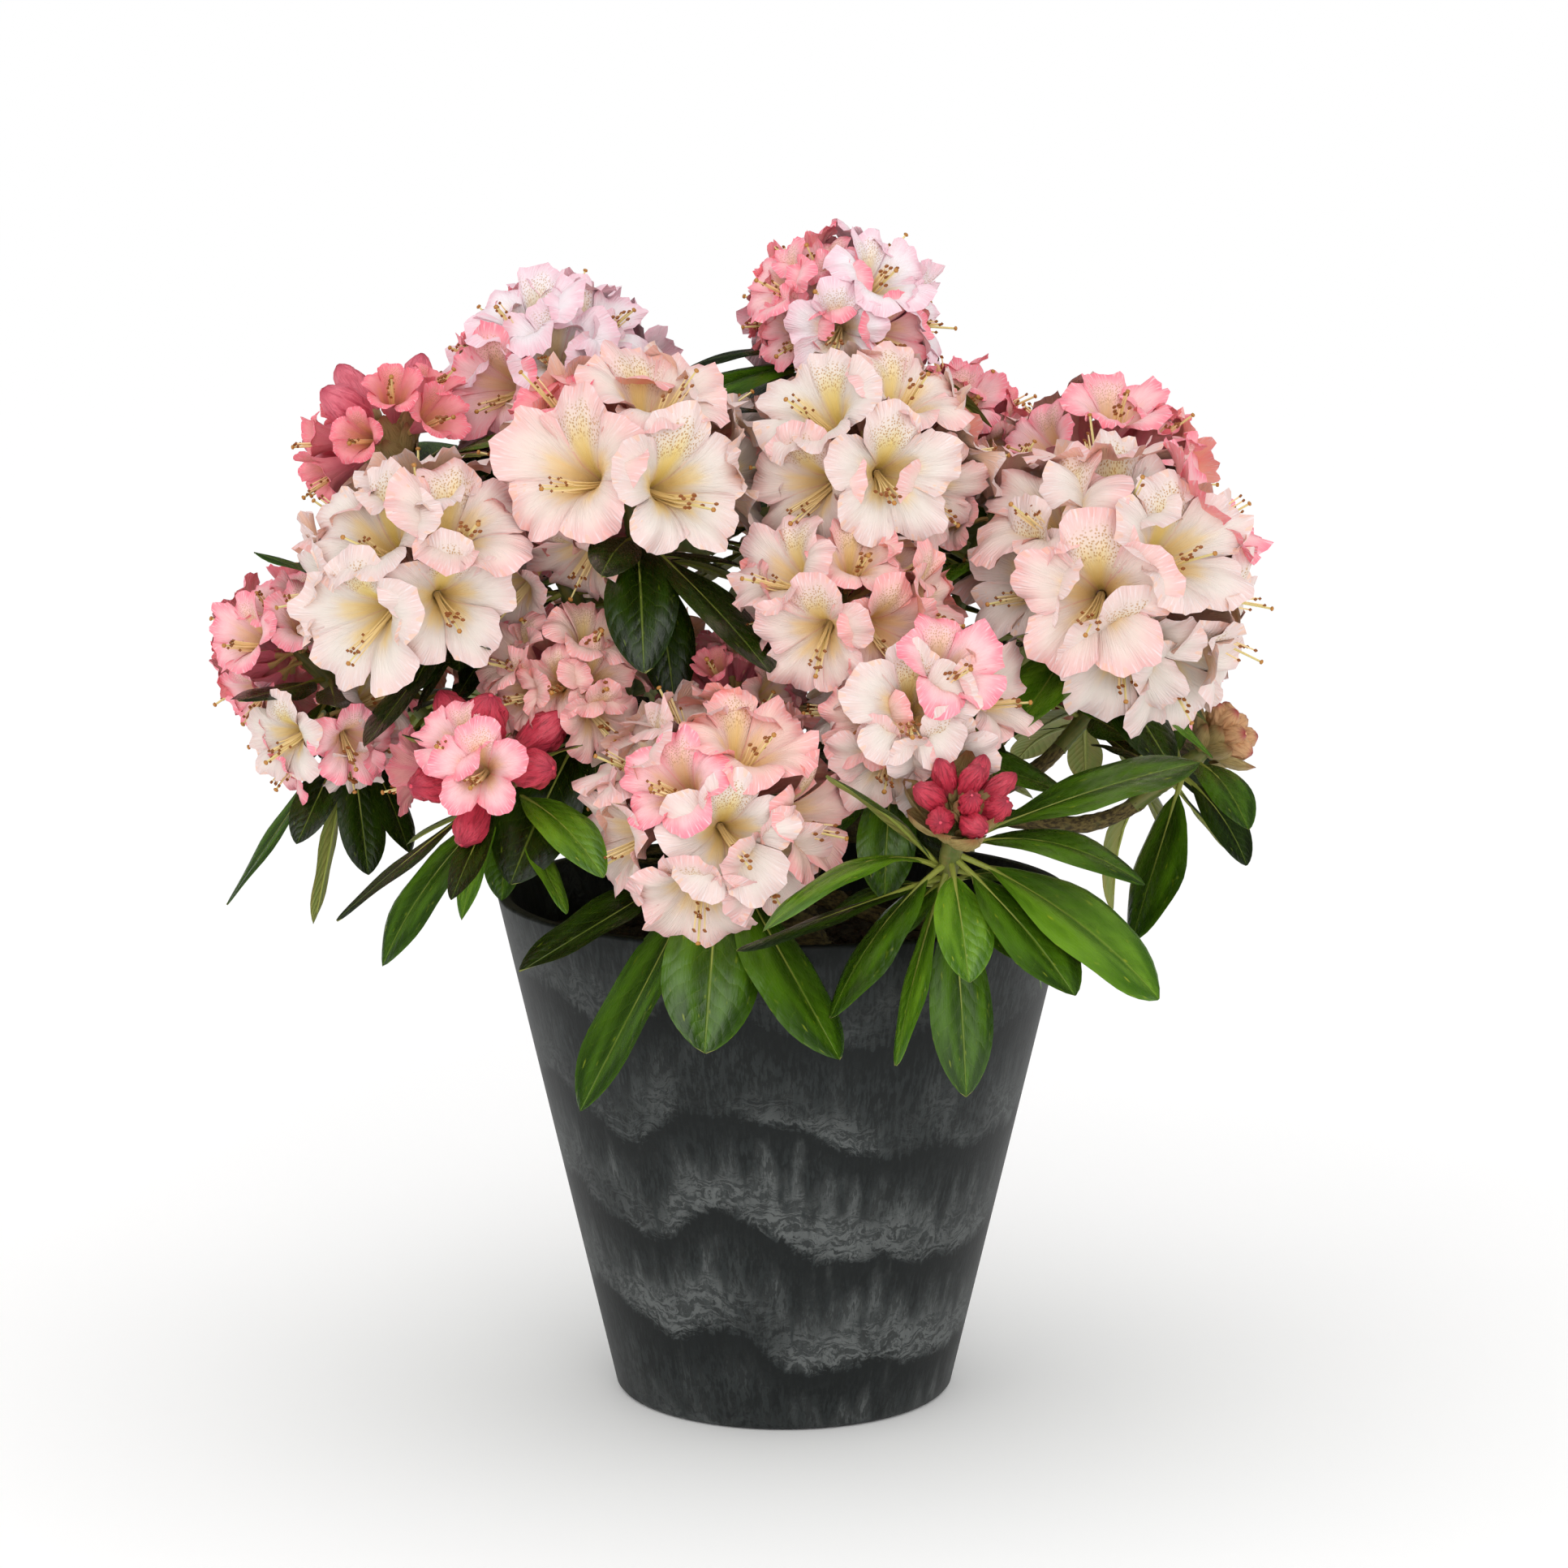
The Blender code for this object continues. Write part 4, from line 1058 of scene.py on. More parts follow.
LEAF_ROWS = 15
LEAF_COLUMNS = 7
BLADE_FROM = 0.16               # where the blade starts, as a share of the leaf's length
TIP_CROWDING = 1.35             # above 1, the rows of a blade lie closer together towards its tip
BLADE_THICKNESS = 0.0006
BLADE_ROLL = 0.30               # how far a blade is rolled to either side, in radians
BLADE_TWIST = 0.25              # and how much it turns on from there to its tip
BLADE_FULLNESS = (1.04, 1.22)   # its width against the solid's
BLADE_FOLD = (0.08, 0.38)       # how steeply its halves rise from the midrib, in radians
BLADE_CURL = (0.15, 0.45)       # how far its margins curl down again
BLADE_WAVES = (1.6, 2.6)        # how many waves its margins have
LEAF_STALK = (0.0016, 0.0012)   # the stalk's radius at the stem and at the blade
LEAF_RIB = (0.0010, 0.00030)    # the midrib's radius from there to the tip

# The shares of dark, fresh and yellow-green leaves: on most shoots, and on some
MIXED_TINTS = (0.50, 0.36, 0.14)
LEAF_TINTS = {"bud_front": (0.10, 0.50, 0.40), "bud_right": (0.80, 0.20, 0.0),
              "centre_left": (1.0, 0.0, 0.0), "front": (0.15, 0.65, 0.20)}


def add_leaf(leaves, stalks, blade, chance, tint):
    """A leaf: a blade folded a little along its midrib, and its stalk, which runs on as the midrib."""
    line_at = leaf_line(blade.root, blade.start_way, blade.tip)
    along = 1 - (1 - np.linspace(0, 1, LEAF_ROWS)[:, None]) ** TIP_CROWDING
    line = np.array([line_at(share) for share in (BLADE_FROM + (1 - BLADE_FROM) * along).flat])
    length = (blade.tip - blade.root).length
    ways = unit(np.gradient(line, axis=0))
    level = np.array(across((blade.tip - blade.root).normalized())[0])
    level = unit(level - ways * (ways @ level)[:, None])
    up = np.cross(ways, level)
    roll = chance.uniform(-BLADE_ROLL, BLADE_ROLL) + chance.uniform(-BLADE_TWIST, BLADE_TWIST) * along
    level, up = np.cos(roll) * level + np.sin(roll) * up, np.cos(roll) * up - np.sin(roll) * level
    outline = (along + 0.010) ** 0.92 * (1.002 - along) ** 0.74
    outline = outline / outline.max()
    half = 0.5 * blade.width * chance.uniform(*BLADE_FULLNESS) * outline
    lateral = np.linspace(-1, 1, LEAF_COLUMNS)
    fold = math.tan(chance.uniform(*BLADE_FOLD))
    rise = half * (fold * np.abs(lateral) - chance.uniform(*BLADE_CURL) * np.abs(lateral) ** 3)
    waves = np.sin(math.tau * chance.uniform(*BLADE_WAVES) * along + chance.uniform(0, math.tau))
    rise = rise + 0.006 * length * waves * lateral ** 2 * np.sign(lateral)
    rise = rise + 0.004 * length * lateral ** 2 * np.sin(9 * along + chance.uniform(0, 6))
    grid = line[:, None] + level[:, None] * (half * lateral)[..., None] + up[:, None] * rise[..., None]
    thickness = BLADE_THICKNESS * np.clip(2.5 * outline, 0.1, 1.0)[..., None]
    leaves.add_sheet(grid, thickness, tint, 3)
    stalk = np.array([line_at(share) for share in np.linspace(0.0, BLADE_FROM + 0.03, 5)])
    rib = line[2:-1:2] - up[2:-1:2] * BLADE_THICKNESS
    radii = np.concatenate((np.linspace(*LEAF_STALK, len(stalk)), np.linspace(*LEAF_RIB, len(rib))))
    stalks.add_tube(tube_grid(np.concatenate((stalk, rib)), radii, 6), 2)


def grow_leaves(blades, leaves, stalks):
    """All leaves, each dark, fresh green or yellow-green."""
    for place, blade in enumerate(blades):
        chance = random.Random(LEAF_SEED + place)
        tint = chance.choices((0, 1, 2), LEAF_TINTS.get(blade.shoot.name, MIXED_TINTS))[0]
        add_leaf(leaves, stalks, blade, chance, tint)


# Wood

TRUNK_BARK_SIDES = 40
TRUNK_BARK_ROWS = 40
BARK_SIDES = 14
BARK_STEP = 0.0024
BARK_UNDER = 0.93               # the radius below the bark's relief, as a share of the limb's
CRACK_STRETCH = 0.35            # cracks run upwards: their pattern is this much coarser along Z
CRACKS = 420                    # these are the patterns' steps in a metre
GRAIN = 1100
KNOBS = 95
KNOB_START = 0.25               # how strong its noise has to be for a knob to stand out
COLLAR = 0.5                    # how much thicker a bough is where it forks
COLLAR_END = 14                 # how fast that passes along it
SCAR_PACE = 1500                # the rings of scars on a stem, in radians for a metre
SCAR_HEIGHT = 0.00035
SWELLING = 0.0012               # how much thicker a stem is where its leaves leave it
STEM_OVERLAP = 0.004            # how far a head's stem reaches into its bough
STEM_TOP = 0.011                # how far the stem rises above the heart of a full head
STEM_ROWS = 44
STEM_SIDES = 12


def bark_relief(point, radius):
    """How far the bark stands out at a place: long cracks, fine grain and a few knobs."""
    stretched = Vector((point.x, point.y, point.z * CRACK_STRETCH))
    cracks = abs(noise.noise(stretched * CRACKS))
    grain = noise.noise(point * GRAIN)
    knobs = max(0.0, noise.noise(point * KNOBS) - KNOB_START)
    return radius * (0.16 * cracks + 0.04 * grain + 0.5 * knobs)


def add_bark(bark, points, radii, sides):
    """A limb's tube with the relief of its bark."""
    smooth = tube_grid(points, radii, sides)
    relief = np.array([[bark_relief(Vector(point), radius) for point in row]
                       for row, radius in zip(smooth, radii)])
    bark.add_tube(tube_grid(points, np.array(radii)[:, None] * BARK_UNDER + relief, sides), 0)


def grow_wood(limbs, bark, stalks):
    """Trunk and boughs with their bark, and the green stem of each flower head."""
    trunk = limbs["trunk"].points
    heights = np.linspace(0, 1, TRUNK_BARK_ROWS)
    points = [trunk[0].lerp(trunk[-1], float(height)) for height in heights]
    add_bark(bark, points, np.interp(heights, *np.array(TRUNK_SHAPE).T), TRUNK_BARK_SIDES)
    for shoot in SHOOTS:
        rough = limbs["bough_" + shoot.name].points
        length = sum((second - first).length for first, second in zip(rough, rough[1:]))
        steps = max(12, int(length / BARK_STEP))
        limb = limb_course(shoot, limbs, steps)
        collar = 1 + COLLAR * np.exp(-COLLAR_END * np.arange(steps + 1) / steps)
        add_bark(bark, limb.points, limb.radii * collar, BARK_SIDES)
        heights = np.linspace(-STEM - STEM_OVERLAP, STEM_TOP * shoot.knob, STEM_ROWS)
        scars = SCAR_HEIGHT * np.maximum(0, np.sin(heights * SCAR_PACE)) ** 6
        swelling = SWELLING * np.exp(-((heights + LEAVES_BELOW + 0.006) / 0.009) ** 2)
        taper = np.clip((heights[-1] - heights) / 0.016, 0.25, 1) ** 0.7
        line = np.array(shoot.heart) + np.array(shoot.way) * heights[:, None]
        stalks.add_tube(tube_grid(line, (SHOOT_RADIUS + scars + swelling) * taper, STEM_SIDES), 0)


# Materials

def paint(code):
    """A colour written as on a paint chart, #rrggbb, in the linear values that Blender wants."""
    values = [int(code[start:start + 2], 16) / 255 for start in (1, 3, 5)]
    return tuple(value / 12.92 if value < 0.04045 else ((value + 0.055) / 1.055) ** 2.4
                 for value in values) + (1.0,)


class Wire:
    """A node's output, with the arithmetic that the materials need. Each step adds a node."""

    def __init__(self, recipe, socket):
        self.recipe = recipe
        self.socket = socket

    def math(self, kind, second=0.0, third=0.0):
        """One step of arithmetic of a kind that Blender names."""
        return self.recipe.node("Math", {0: self, 1: second, 2: third}, operation=kind)

    def __abs__(self):
        return self.math("ABSOLUTE")

    def __add__(self, other):
        return self.math("ADD", other)

    def __sub__(self, other):
        return self.math("SUBTRACT", other)

    def __mul__(self, other):
        return self.math("MULTIPLY", other)

    def __pow__(self, other):
        return self.math("POWER", other)

    def times_plus(self, factor, addend):
        """The value times a factor, plus another value."""
        return self.math("MULTIPLY_ADD", factor, addend)

    def between(self, low, high, start=0.0, end=1.0):
        """A smooth step from start to end while the value goes from low to high."""
        return self.recipe.node("MapRange", {0: self, 1: low, 2: high, 3: start, 4: end},
                                interpolation_type="SMOOTHSTEP")


class Recipe:
    """A Principled material whose nodes are added with one call each."""

    def __init__(self, name, **sockets):
        self.material = bpy.data.materials.new(name)
        self.material.use_nodes = True
        self.tree = self.material.node_tree
        self.shader = self.tree.nodes["Principled BSDF"]
        for socket, value in sockets.items():
            self.shader.inputs[socket.replace("_", " ")].default_value = value

    def node(self, kind, inputs, output=0, **settings):
        """Adds a node, sets or links its inputs and gives one of its outputs."""
        item = self.tree.nodes.new("ShaderNode" + kind)
        for setting, value in settings.items():
            setattr(item, setting, value)
        for socket, value in inputs.items():
            if isinstance(value, Wire):
                self.tree.links.new(value.socket, item.inputs[socket])
            else:
                item.inputs[socket].default_value = paint(value) if isinstance(value, str) else value
        return Wire(self, item.outputs[output])

    def stretched(self, place, stretch):
        """A place multiplied by a stretch: patterns on it are drawn out by as much less."""
        return self.node("VectorMath", {0: place, 1: stretch}, operation="MULTIPLY")

    def noise(self, place, scale, detail=2.0, rough=0.5, stretch=(1, 1, 1)):
        """Cloudy noise at a place, drawn out by a stretch."""
        return self.node("TexNoise", {"Vector": self.stretched(place, stretch), "Scale": scale,
                                      "Detail": detail, "Roughness": rough})

    def split(self, place):
        """The three parts of a place."""
        item = self.node("SeparateXYZ", {0: place}).socket.node
        return [Wire(self, part) for part in item.outputs]

    def solid_place(self):
        """The place in the object, in metres, for patterns that run through it."""
        return self.node("TexCoord", {}, 3)

    def tile(self, slot, tiles=2):
        """The place in a slot's own tile of the map: x from -1 to 1 across, y from 0 to 1 along."""
        inner = 1 - 2 * TILE_EDGE
        left, low = (-(corner + TILE_EDGE) / inner for corner in (slot % tiles, slot // tiles))
        place = self.node("Mapping", {"Vector": self.node("UVMap", {}, uv_map="OFBake"),
                                      "Scale": (2 * tiles / inner, tiles / inner, 1),
                                      "Location": (2 * left - 1, low, 0)})
        return place, *self.split(place)[:2]

    def bump(self, height, distance, strength):
        """Makes a height the surface's small relief."""
        normal = self.node("Bump", {"Height": height, "Distance": distance, "Strength": strength})
        self.tree.links.new(normal.socket, self.shader.inputs["Normal"])

    def finish(self, colour, *layers, rough=None):
        """The material with its colour: layers, each a share and a colour, over a ground colour."""
        for share, upper in layers:
            colour = self.node("Mix", {0: share, 6: colour, 7: upper}, 2, data_type="RGBA")
        self.tree.links.new(colour.socket, self.shader.inputs["Base Color"])
        if rough is not None:
            self.tree.links.new(rough.socket, self.shader.inputs["Roughness"])
        return self.material


FLARE = "#f8e070"
FRECKLE = "#bb8436"
# A pale colour painted on the ridges of the pleats near a petal's margin, as their highlight
PAINTED_PLEAT_HIGHLIGHT = "#f4f3f7"


def petal_material(stage, slot, kind):
    """One side of a petal: veins, a coloured margin and, on the upper lobe, a freckled yellow flare."""
    colours = STAGES[stage]
    recipe = Recipe(f"petal_{stage}_{kind}", Roughness=0.55, Specular_IOR_Level=0.22)
    place, side, along = recipe.tile(slot)
    outward = abs(side)
    veins = recipe.noise(place, 1.0, 4, 0.65, (15, 1.6, 1))
    pleats = recipe.noise(place, 1.0, 2, 0.5, (30, 3.5, 1))
    drift = (recipe.noise(place, 1.5, 3) - 0.5).times_plus(0.7, along)
    rim = (outward ** 4.0).times_plus(0.14, drift).between(0.50, 1.06, 0.0, colours.edge)
    # The outside colour on the backs, and the throat colour inside below, are partly painted warm shade
    if kind == "outer":
        layers = [colours.streak_and_crease_shade, (along.between(0.05, 0.6), colours.outside),
                  (outward.between(0.24, 0.0, 0.0, 0.6), colours.streak_and_crease_shade), (rim * 0.8, colours.margin)]
    else:
        # Painted shade: the streak colour darkens the creases where the lobes meet, towards the throat
        crease_shade = outward.between(0.86, 0.99, 0.0, 0.5) * along.between(0.90, 0.35)
        layers = [colours.throat, (drift.between(0.06, 0.52), colours.middle), (rim, colours.margin),
                  (crease_shade, colours.streak_and_crease_shade)]
    # Veins in the margin's colour, and the painted highlight on the pleat ridges towards the margin
    layers += [(veins.between(0.52, 0.68, 0.0, 0.28), colours.margin),
               (pleats.between(0.48, 0.72, 0.0, 0.42) * along.between(0.5, 0.90), PAINTED_PLEAT_HIGHLIGHT)]
    if kind == "inner":
        flare = outward.between(1.2, 0.2) * drift.between(0.42, 0.26)
        layers.append((flare * (colours.flare * 0.22), FLARE))
    if kind == "upper":
        flare = outward.between(0.95, 0.25) * drift.between(0.72, 0.26)
        cells = recipe.node("TexVoronoi", {"Vector": recipe.stretched(place, (14, 23, 1)), "Scale": 1.0},
                            voronoi_dimensions="2D")
        field = outward.between(0.98, 0.60) * (along.between(0.30, 0.42) * drift.between(0.84, 0.64))
        spots = cells.between(0.34, 0.20) * field * (0.45 + 0.45 * colours.flare)
        layers += [(flare * (colours.flare * 0.90), FLARE), (spots, FRECKLE)]
    recipe.bump(veins + pleats * 0.9, 0.0009, 0.6)
    return recipe.finish(*layers)


def petal_materials(stage):
    """The materials of a stage's skin: upper lobe, other lobes and outside."""
    return [petal_material(stage, slot, kind) for slot, kind in enumerate(("upper", "inner", "outer"))]


def plain_material(name, colour, roughness):
    """A small thing of one colour, with a slight grain in its gloss."""
    recipe = Recipe(name, Roughness=roughness, Base_Color=paint(colour))
    recipe.bump(recipe.noise(recipe.solid_place(), 900.0), 0.0001, 0.4)
    return recipe.material


def stamen_materials():
    """Filaments, anthers, stigma and style, each a plain colour."""
    return [plain_material("filament", "#f8dfa4", 0.45), plain_material("anther", "#96561f", 0.7),
            plain_material("stigma", "#b97e35", 0.4), plain_material("style", "#e6d58d", 0.45)]


def bud_material(name, slot, foot, body, tip, shade):
    """A bud's folded petals or a bract: its colour from foot to tip, with painted shade in the folds."""
    recipe = Recipe(name, Roughness=0.42, Subsurface_Weight=0.08, Subsurface_Radius=(1.0, 0.4, 0.3),
                    Subsurface_Scale=0.001, Coat_Weight=0.12, Coat_Roughness=0.3)
    place, side, along = recipe.tile(slot)
    streaks = recipe.noise(place, 1.0, 3, 0.6, (13, 2.8, 1))
    recipe.bump(streaks + recipe.noise(place, 1.0, 4, 0.7, (17, 4.5, 1)), 0.0016, 0.9)
    # The shade colour in the streaks is painted shade of the folds
    return recipe.finish(foot, (along.between(0.0, 0.35), body), (along.between(0.72, 1.0), tip),
                         (streaks.between(0.48, 0.66, 0.0, 0.65), shade))


def bud_materials():
    """Crimson buds, ochre buds that are still shut, bracts, and pink buds that are about to open."""
    return [bud_material("bud_crimson", 0, "#e6747c", "#dc3e56", "#c02c48", "#8e1828"),
            bud_material("bud_ochre", 1, "#bd8f4c", "#e4b07e", "#c84c54", "#b0683a"),
            bud_material("bract", 2, "#aa9a50", "#ceb274", "#c08052", "#9c7c42"),
            bud_material("bud_pink", 3, "#f3959a", "#ef7386", "#e0536c", "#c73752")]


def leaf_swell(along, outward, wander=None):
    """How a leaf swells between its side veins, which run forward from the midrib: 0 on a vein."""
    phase = along.times_plus(11.0, outward * -2.4)
    if wander is not None:
        phase = wander.times_plus(1.1, phase)
    return abs((phase * math.pi).math("SINE"))


def leaf_top(name, slot, deep, fresh, fleck):
    """A leaf's glossy upper side: pale sunken midrib and side veins, and yellow flecks."""
    recipe = Recipe(name, Specular_IOR_Level=0.32)
    place, side, along = recipe.tile(slot)
    outward = abs(side)
    swell = leaf_swell(along, outward, recipe.noise(place, 3.1, 2))
    vein = swell.between(0.16, 0.0) * outward.between(1.0, 0.5)
    rib = outward.between(0.046, 0.012)
    flecks = recipe.noise(place, 6.5, 1, 0.5, (1.0, 1.8, 1))
    fine = recipe.noise(place, 24.0, 2)
    recipe.bump(rib.times_plus(-0.7, swell.times_plus(0.42, fine * 0.35)), 0.0006, 0.6)
    return recipe.finish(deep, (recipe.noise(place, 1.7, 3).between(0.35, 0.68), fresh),
                         (flecks.between(0.66, 0.78, 0.0, 0.65), fleck), (vein * 0.16, "#6d8a26"),
                         (rib * 0.45, "#86983c"), rough=fine.between(0.3, 0.7, 0.22, 0.38))


def leaf_under(slot):
    """A leaf's matt underside: pale ochre-green with raised side veins."""
    recipe = Recipe("leaf_under", Roughness=0.7)
    place, side, along = recipe.tile(slot)
    swell = leaf_swell(along, abs(side))
    recipe.bump(swell * -1.0, 0.0006, 0.6)
    return recipe.finish("#7b8a3c", (recipe.noise(place, 2.2, 3).between(0.3, 0.7), "#8f8a44"),
                         (swell.between(0.2, 0.0, 0.0, 0.35), "#adab62"))


def leaf_materials():
    """Dark, fresh and yellow-green upper sides, and the underside."""
    return [leaf_top("leaf_dark", 0, "#101d00", "#243b03", "#5f720e"),
            leaf_top("leaf_fresh", 1, "#233e02", "#496f0f", "#87951c"),
            leaf_top("leaf_young", 2, "#3b6206", "#6a9420", "#a9b02e"), leaf_under(3)]


def stalk_material(name, slot, light, dark, mark, roughness):
    """A green stem or stalk: lengthwise streaks and small scars."""
    recipe = Recipe(name, Roughness=roughness)
    place = recipe.tile(slot)[0]
    streaks = recipe.noise(place, 1.0, 3, 0.6, (5, 3.0, 1))
    marks = recipe.noise(place, 1.0, 2, 0.5, (4, 26.0, 1))
    recipe.bump(marks, 0.0004, 0.6)
    return recipe.finish(light, (streaks.between(0.35, 0.65), dark),
                         (marks.between(0.60, 0.72, 0.0, 0.7), mark))


def stalk_materials():
    """Young stems, flower stalks and leaf stalks."""
    return [stalk_material("young_stem", 0, "#7c7a3c", "#5c6a2c", "#7a5a34", 0.55),
            stalk_material("flower_stalk", 1, "#c9b86c", "#d0a468", "#cf8660", 0.5),
            stalk_material("leaf_stalk", 2, "#8c9a3a", "#a3a64c", "#7d7a34", 0.5)]


def bark_material():
    """Brown bark with darker cracks and patches of grey-green lichen."""
    recipe = Recipe("bark_rough", Roughness=0.85)
    place = recipe.tile(0, 1)[0]
    cracks = recipe.noise(place, 1.0, 5, 0.65, (9, 30, 1))
    patches = recipe.noise(place, 1.0, 2, 0.5, (2, 6, 1))
    recipe.bump(cracks, 0.0010, 0.8)
    return recipe.finish("#3b2e18", (cracks.between(0.38, 0.62), "#79683a"),
                         (patches.between(0.52, 0.70, 0.0, 0.55), "#7f7c48"))


BANDS = 18.5                    # the planter's pale bands, for each metre of its height


def planter_material():
    """Dark composite: pale bands, swirled at their lower edges, that run out upwards in brushed fibres."""
    recipe = Recipe("marbled_composite", Specular_IOR_Level=0.16)
    place = recipe.solid_place()
    height = recipe.split(place)[2]
    drift = recipe.noise(place, 1.0, 2, 0.5, (9, 9, 3))
    waves = recipe.noise(place, 1.0, 3, 0.55, (38, 38, 20))
    fibres = recipe.noise(place, 1.0, 3, 0.65, (520, 520, 46))
    strands = recipe.noise(place, 1.0, 2, 0.5, (130, 130, 12))
    patches = recipe.noise(place, 1.0, 3, 0.6, (16, 16, 12))
    curls = recipe.node("TexNoise", {"Vector": place, "Scale": 60.0, "Detail": 4.0}, 1)
    curls = recipe.node("VectorMath", {0: curls, 1: (0.030, 0.030, 0.030), 2: place},
                        operation="MULTIPLY_ADD")
    swirl = recipe.noise(curls, 1.0, 4, 0.7, (130, 130, 420))
    # how far above the nearest lower edge of a band a place is, as a share of their spacing
    level = waves.times_plus(0.20, height.times_plus(BANDS, drift * 2.0))
    level = swirl.times_plus(0.26, level).math("FRACT")
    fade = (fibres - 0.5).times_plus(0.9, (strands - 0.5).times_plus(1.3, level))
    cloud = level.between(0.0, 0.12) * fade.between(0.80, 0.30) * patches.between(0.36, 0.60, 0.15, 1.0)
    cloud = cloud * height.between(0.12, 0.19, 1.0, 0.40)
    # the grain inside a band: swirled below, brushed upright above
    swirled = swirl.between(0.44, 0.57)
    brushed = fibres.between(0.43, 0.60)
    grain = level.between(0.28, 0.62).times_plus(brushed - swirled, swirled)
    light = cloud * grain.times_plus(0.74, 0.26)
    recipe.bump(fibres + swirl, 0.0003, 0.3)
    return recipe.finish("#181b1b", (brushed * level.between(0.98, 0.60, 0.1, 0.9), "#2a2e2e"),
                         (light, "#5e6160"), rough=light.between(0.0, 1.0, 0.50, 0.66))


def compost_material():
    """Damp peat with lighter fibres."""
    recipe = Recipe("peat", Roughness=0.95)
    place = recipe.solid_place()
    crumbs = recipe.noise(place, 260.0, 4, 0.7)
    fibres = recipe.noise(place, 1.0, 3, 0.6, (700, 160, 400))
    recipe.bump(crumbs, 0.002, 0.9)
    return recipe.finish("#1d140d", (crumbs.between(0.35, 0.7), "#4a3423"),
                         (fibres.between(0.66, 0.76, 0.0, 0.8), "#87694a"))


# The planter and the compost in full detail

FINE_SIDES = 144
WALL_STEPS = 12
RIM_ROUND = 0.0016
ROUND_STEPS = 6
AXIS_GAP = 0.002                # the radius of the small caps in the middle of a turned shape
SEEN_LESS_SHARE = 0.2           # how much of the map the planter's inside and underside get for their size
CRUMBS = 420
CRUMB_SIZE = (0.0015, 0.005)
SUNK = 0.006                    # how far the compost is sunk at the wall


def turned_grid(profile):
    """Rings of points from a section turned round the Z axis, the other way round from a tube's."""
    angle = -np.arange(FINE_SIDES) * math.tau / FINE_SIDES
    radii, heights = np.array(profile).T[:, :, None]
    return np.stack((radii * np.cos(angle), radii * np.sin(angle), heights + 0 * angle), -1)


def rounded(radius, height, turn_from, turn_to):
    """A quarter round for a section: the circle's middle and the angles that it runs between."""
    return [(radius + RIM_ROUND * math.cos(angle), height + RIM_ROUND * math.sin(angle))
            for angle in np.radians(np.linspace(turn_from, turn_to, ROUND_STEPS + 1))]


def fine_planter():
    """The planter with a rounded rim and a softened foot. Most of its map goes to its outer wall."""
    foot = POT_BASE_RADIUS + POT_SLOPE * POT_EDGE
    top = POT_HEIGHT - RIM_ROUND
    wall = list(zip(np.linspace(foot, POT_RIM_RADIUS, WALL_STEPS + 1),
                    np.linspace(POT_EDGE, top, WALL_STEPS + 1)))
    inner = [(POT_RIM_RADIUS - POT_WALL - POT_SLOPE * (top - height), height)
             for height in np.linspace(top, POT_FLOOR, 6)]
    profile = [(AXIS_GAP, 0), (0.5 * POT_BASE_RADIUS, 0), (POT_BASE_RADIUS - POT_EDGE, 0),
               (POT_BASE_RADIUS - 0.4 * POT_EDGE, 0.25 * POT_EDGE)] + wall[:-1]
    profile += rounded(POT_RIM_RADIUS - RIM_ROUND, top, 0, 90)
    profile += rounded(POT_RIM_RADIUS - POT_WALL + RIM_ROUND, top, 90, 180)
    profile += inner[1:] + [(0.5 * POT_BASE_RADIUS, POT_FLOOR), (AXIS_GAP, POT_FLOOR)]
    steps = np.linalg.norm(np.diff(np.array(profile), axis=0), axis=1)
    # all but the outer wall and the rounded rim
    seen_less = np.ones(len(steps), bool)
    seen_less[3:4 + len(wall) + 2 * ROUND_STEPS] = False
    alongs = np.concatenate(((0.0,), np.cumsum(np.where(seen_less, SEEN_LESS_SHARE, 1.0) * steps)))
    skin = Skin("planter_marbled", [planter_material()], 1)
    skin.add_tube(turned_grid(profile), 0, alongs / alongs[-1])
    return skin.build(35)


def fine_compost():
    """The compost with a crumbly top, sunk a little at the wall, and loose bits of bark on it."""
    inner = POT_BASE_RADIUS - POT_WALL - CLEAR
    low = POT_FLOOR + CLEAR
    top_radius = inner + POT_SLOPE * SOIL_TOP
    profile = [(AXIS_GAP, low), (inner + POT_SLOPE * low, low), (top_radius - 0.001, SOIL_TOP - SUNK)]
    profile += [(top_radius * share, SOIL_TOP - 0.001) for share in np.linspace(0.985, 0.01, 46)]
    grid = turned_grid(profile)
    for point in grid[3:].reshape(-1, 3):
        bumps = noise.noise(Vector(point) * 260) + 0.6 * noise.noise(Vector(point) * 620)
        point[2] += 0.0016 * bumps
    skin = Skin("compost_crumbs", [compost_material()], 1)
    skin.add_tube(grid, 0)
    chance = random.Random(CRUMB_SEED)
    for crumb in range(CRUMBS):
        far = top_radius * 0.97 * math.sqrt(chance.random())
        angle = chance.uniform(0, math.tau)
        centre = Vector((far * math.cos(angle), far * math.sin(angle), SOIL_TOP - CLEAR))
        way = Vector((chance.uniform(-1, 1), chance.uniform(-1, 1), chance.uniform(-0.3, 0.3))).normalized()
        size = chance.uniform(*CRUMB_SIZE)
        line = [centre + way * size * share for share in (-1, -0.6, 0.5, 1)]
        shape = [size * chance.uniform(0.25, 0.5) for step in range(4)]
        skin.add_tube(tube_grid(line, np.array(shape) * (0.5, 1, 1, 0.4), 6), 0)
    return skin.build(45)


# Light, floor and camera

CAMERA = (0.0, -1.9, 0.61)
AIM = (0.0, 0.0, 0.29)
LENS = 94.06
MIRRORED_WORLD = 0.12           # how bright the white surroundings are where a glossy surface mirrors them
FLOOR_REACH = 20
FLOOR_DROP = 0.0003             # the floor lies this far below the planter's underside

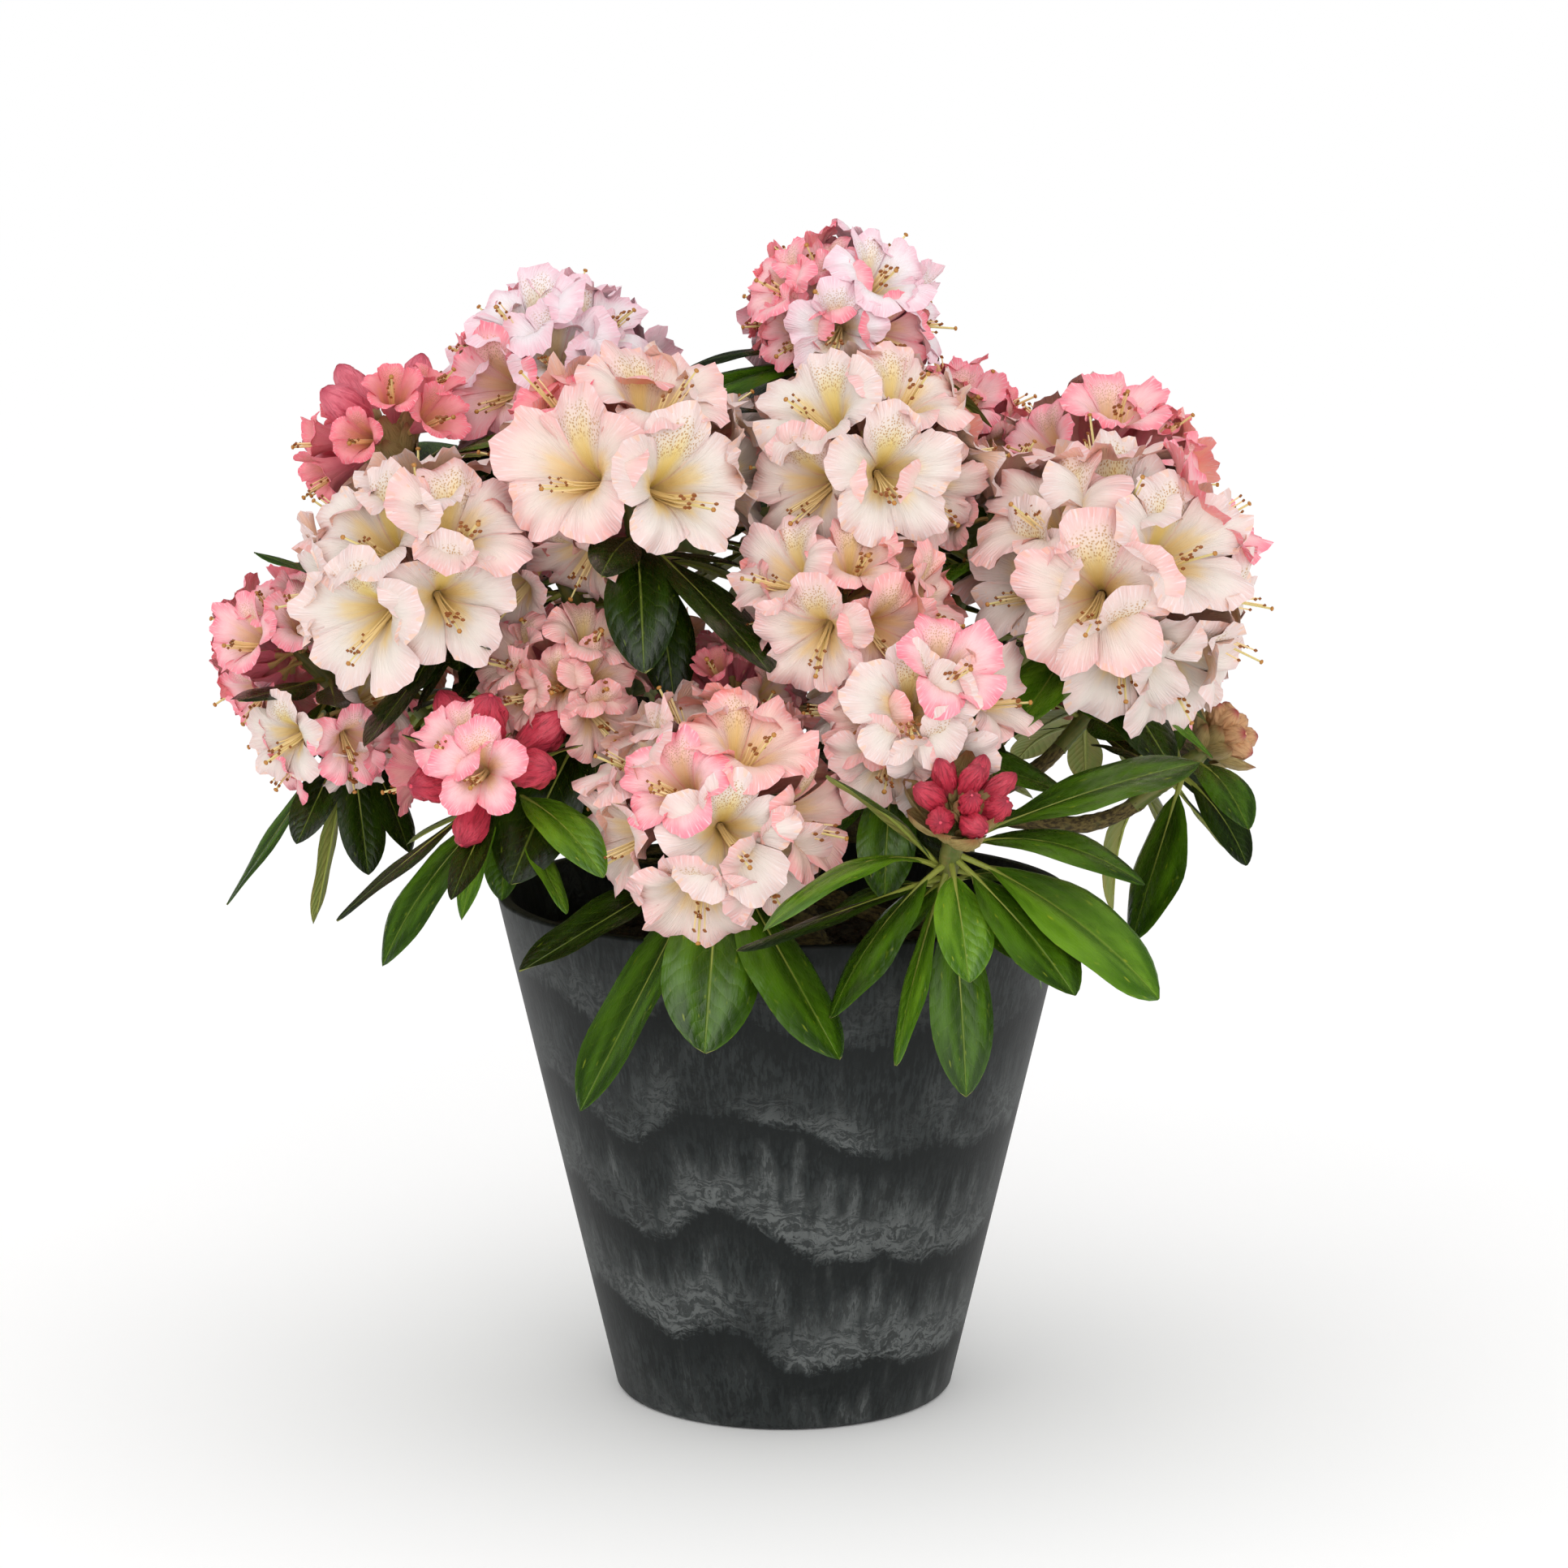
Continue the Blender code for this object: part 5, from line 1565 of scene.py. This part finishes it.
# Square soft lights: place, what each is turned to, size, power in watts and colour. The sheen shows in
# the gloss only.
LIGHTS = {"key": ((-1.1, -1.5, 2.0), (0, 0, 0.35), 1.2, 3.5, (1.0, 0.985, 0.96)),
          "front": ((0.4, -2.4, 0.9), (0, 0, 0.3), 1.6, 13, (1.0, 0.99, 0.98)),
          "sheen": ((-0.5, -0.9, 1.9), (0, 0, 0.3), 1.6, 20, (1.0, 1.0, 1.0))}


def place_looking(item, place, target):
    """Puts a camera or light at a place and turns it towards another."""
    item.location = place
    item.rotation_euler = (Vector(target) - item.location).to_track_quat("-Z", "Y").to_euler()


def add_camera():
    """The camera at the photograph's angle."""
    camera = new_object("camera", bpy.data.cameras.new("camera"))
    camera.data.lens = LENS
    camera.data.clip_end = 50
    place_looking(camera, CAMERA, AIM)
    bpy.context.scene.camera = camera


def add_world():
    """White surroundings, which glossy surfaces mirror dimly."""
    world = bpy.data.worlds.new("studio")
    world.use_nodes = True
    tree = world.node_tree
    background = tree.nodes["Background"]
    background.inputs[0].default_value = (1.0, 1.0, 1.0, 1)
    path = tree.nodes.new("ShaderNodeLightPath")
    dimmer = tree.nodes.new("ShaderNodeMapRange")
    dimmer.inputs[3].default_value = 1.0
    dimmer.inputs[4].default_value = MIRRORED_WORLD
    tree.links.new(path.outputs["Is Glossy Ray"], dimmer.inputs[0])
    tree.links.new(dimmer.outputs[0], background.inputs[1])
    bpy.context.scene.world = world
    bpy.context.scene.view_settings.view_transform = "Standard"


def add_studio():
    """A key light from the upper left, a broad one from the front, the sheen, and a white floor."""
    for name, (place, target, size, power, colour) in LIGHTS.items():
        light = new_object(name, bpy.data.lights.new(name, "AREA"))
        light.data.size = size
        light.data.energy = power
        light.data.color = colour
        light.visible_diffuse = name != "sheen"
        place_looking(light, place, target)
    mesh = bpy.data.meshes.new("floor")
    ends = [(x * FLOOR_REACH, y * FLOOR_REACH, 0) for x, y in ((-1, -1), (1, -1), (1, 1), (-1, 1))]
    mesh.from_pydata(ends, [], [(0, 1, 2, 3)])
    recipe = Recipe("floor_white", Roughness=0.9, Base_Color=(1.0, 1.0, 1.0, 1), Specular_IOR_Level=0.0)
    mesh.materials.append(recipe.material)
    floor = new_object("floor", mesh)
    floor.location.z = -FLOOR_DROP


def place_piece(item, nodes):
    """Puts a finished piece on the plant's body in place of the solids that it stands for."""
    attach(item, BODY)
    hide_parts(*nodes)


def main():
    """Grows the plant and dresses every solid."""
    limbs = grow_limbs()
    blooms, blades = grow_heads(limbs)
    petals = {letter: Skin("petals_" + stage.name, petal_materials(letter))
              for letter, stage in STAGES.items()}
    stamens = Skin("stamens", stamen_materials())
    buds = Skin("buds", bud_materials())
    leaves = Skin("leaves", leaf_materials())
    stalks = Skin("stalks", stalk_materials())
    bark = Skin("bark", [bark_material()], 1)
    grow_petals(blooms, petals, stamens, stalks)
    grow_buds(blooms, buds, stalks)
    grow_leaves(blades, leaves, stalks)
    grow_wood(limbs, bark, stalks)
    trusses = ["truss_" + shoot.name for shoot in SHOOTS]
    for skin in (*petals.values(), stamens, buds, leaves, stalks):
        place_piece(skin.build(), trusses)
    place_piece(bark.build(80), ["trunk"] + ["bough_" + shoot.name for shoot in SHOOTS])
    place_piece(fine_planter(), ["planter"])
    place_piece(fine_compost(), ["compost"])
    add_world()
    add_studio()
    add_camera()


main()
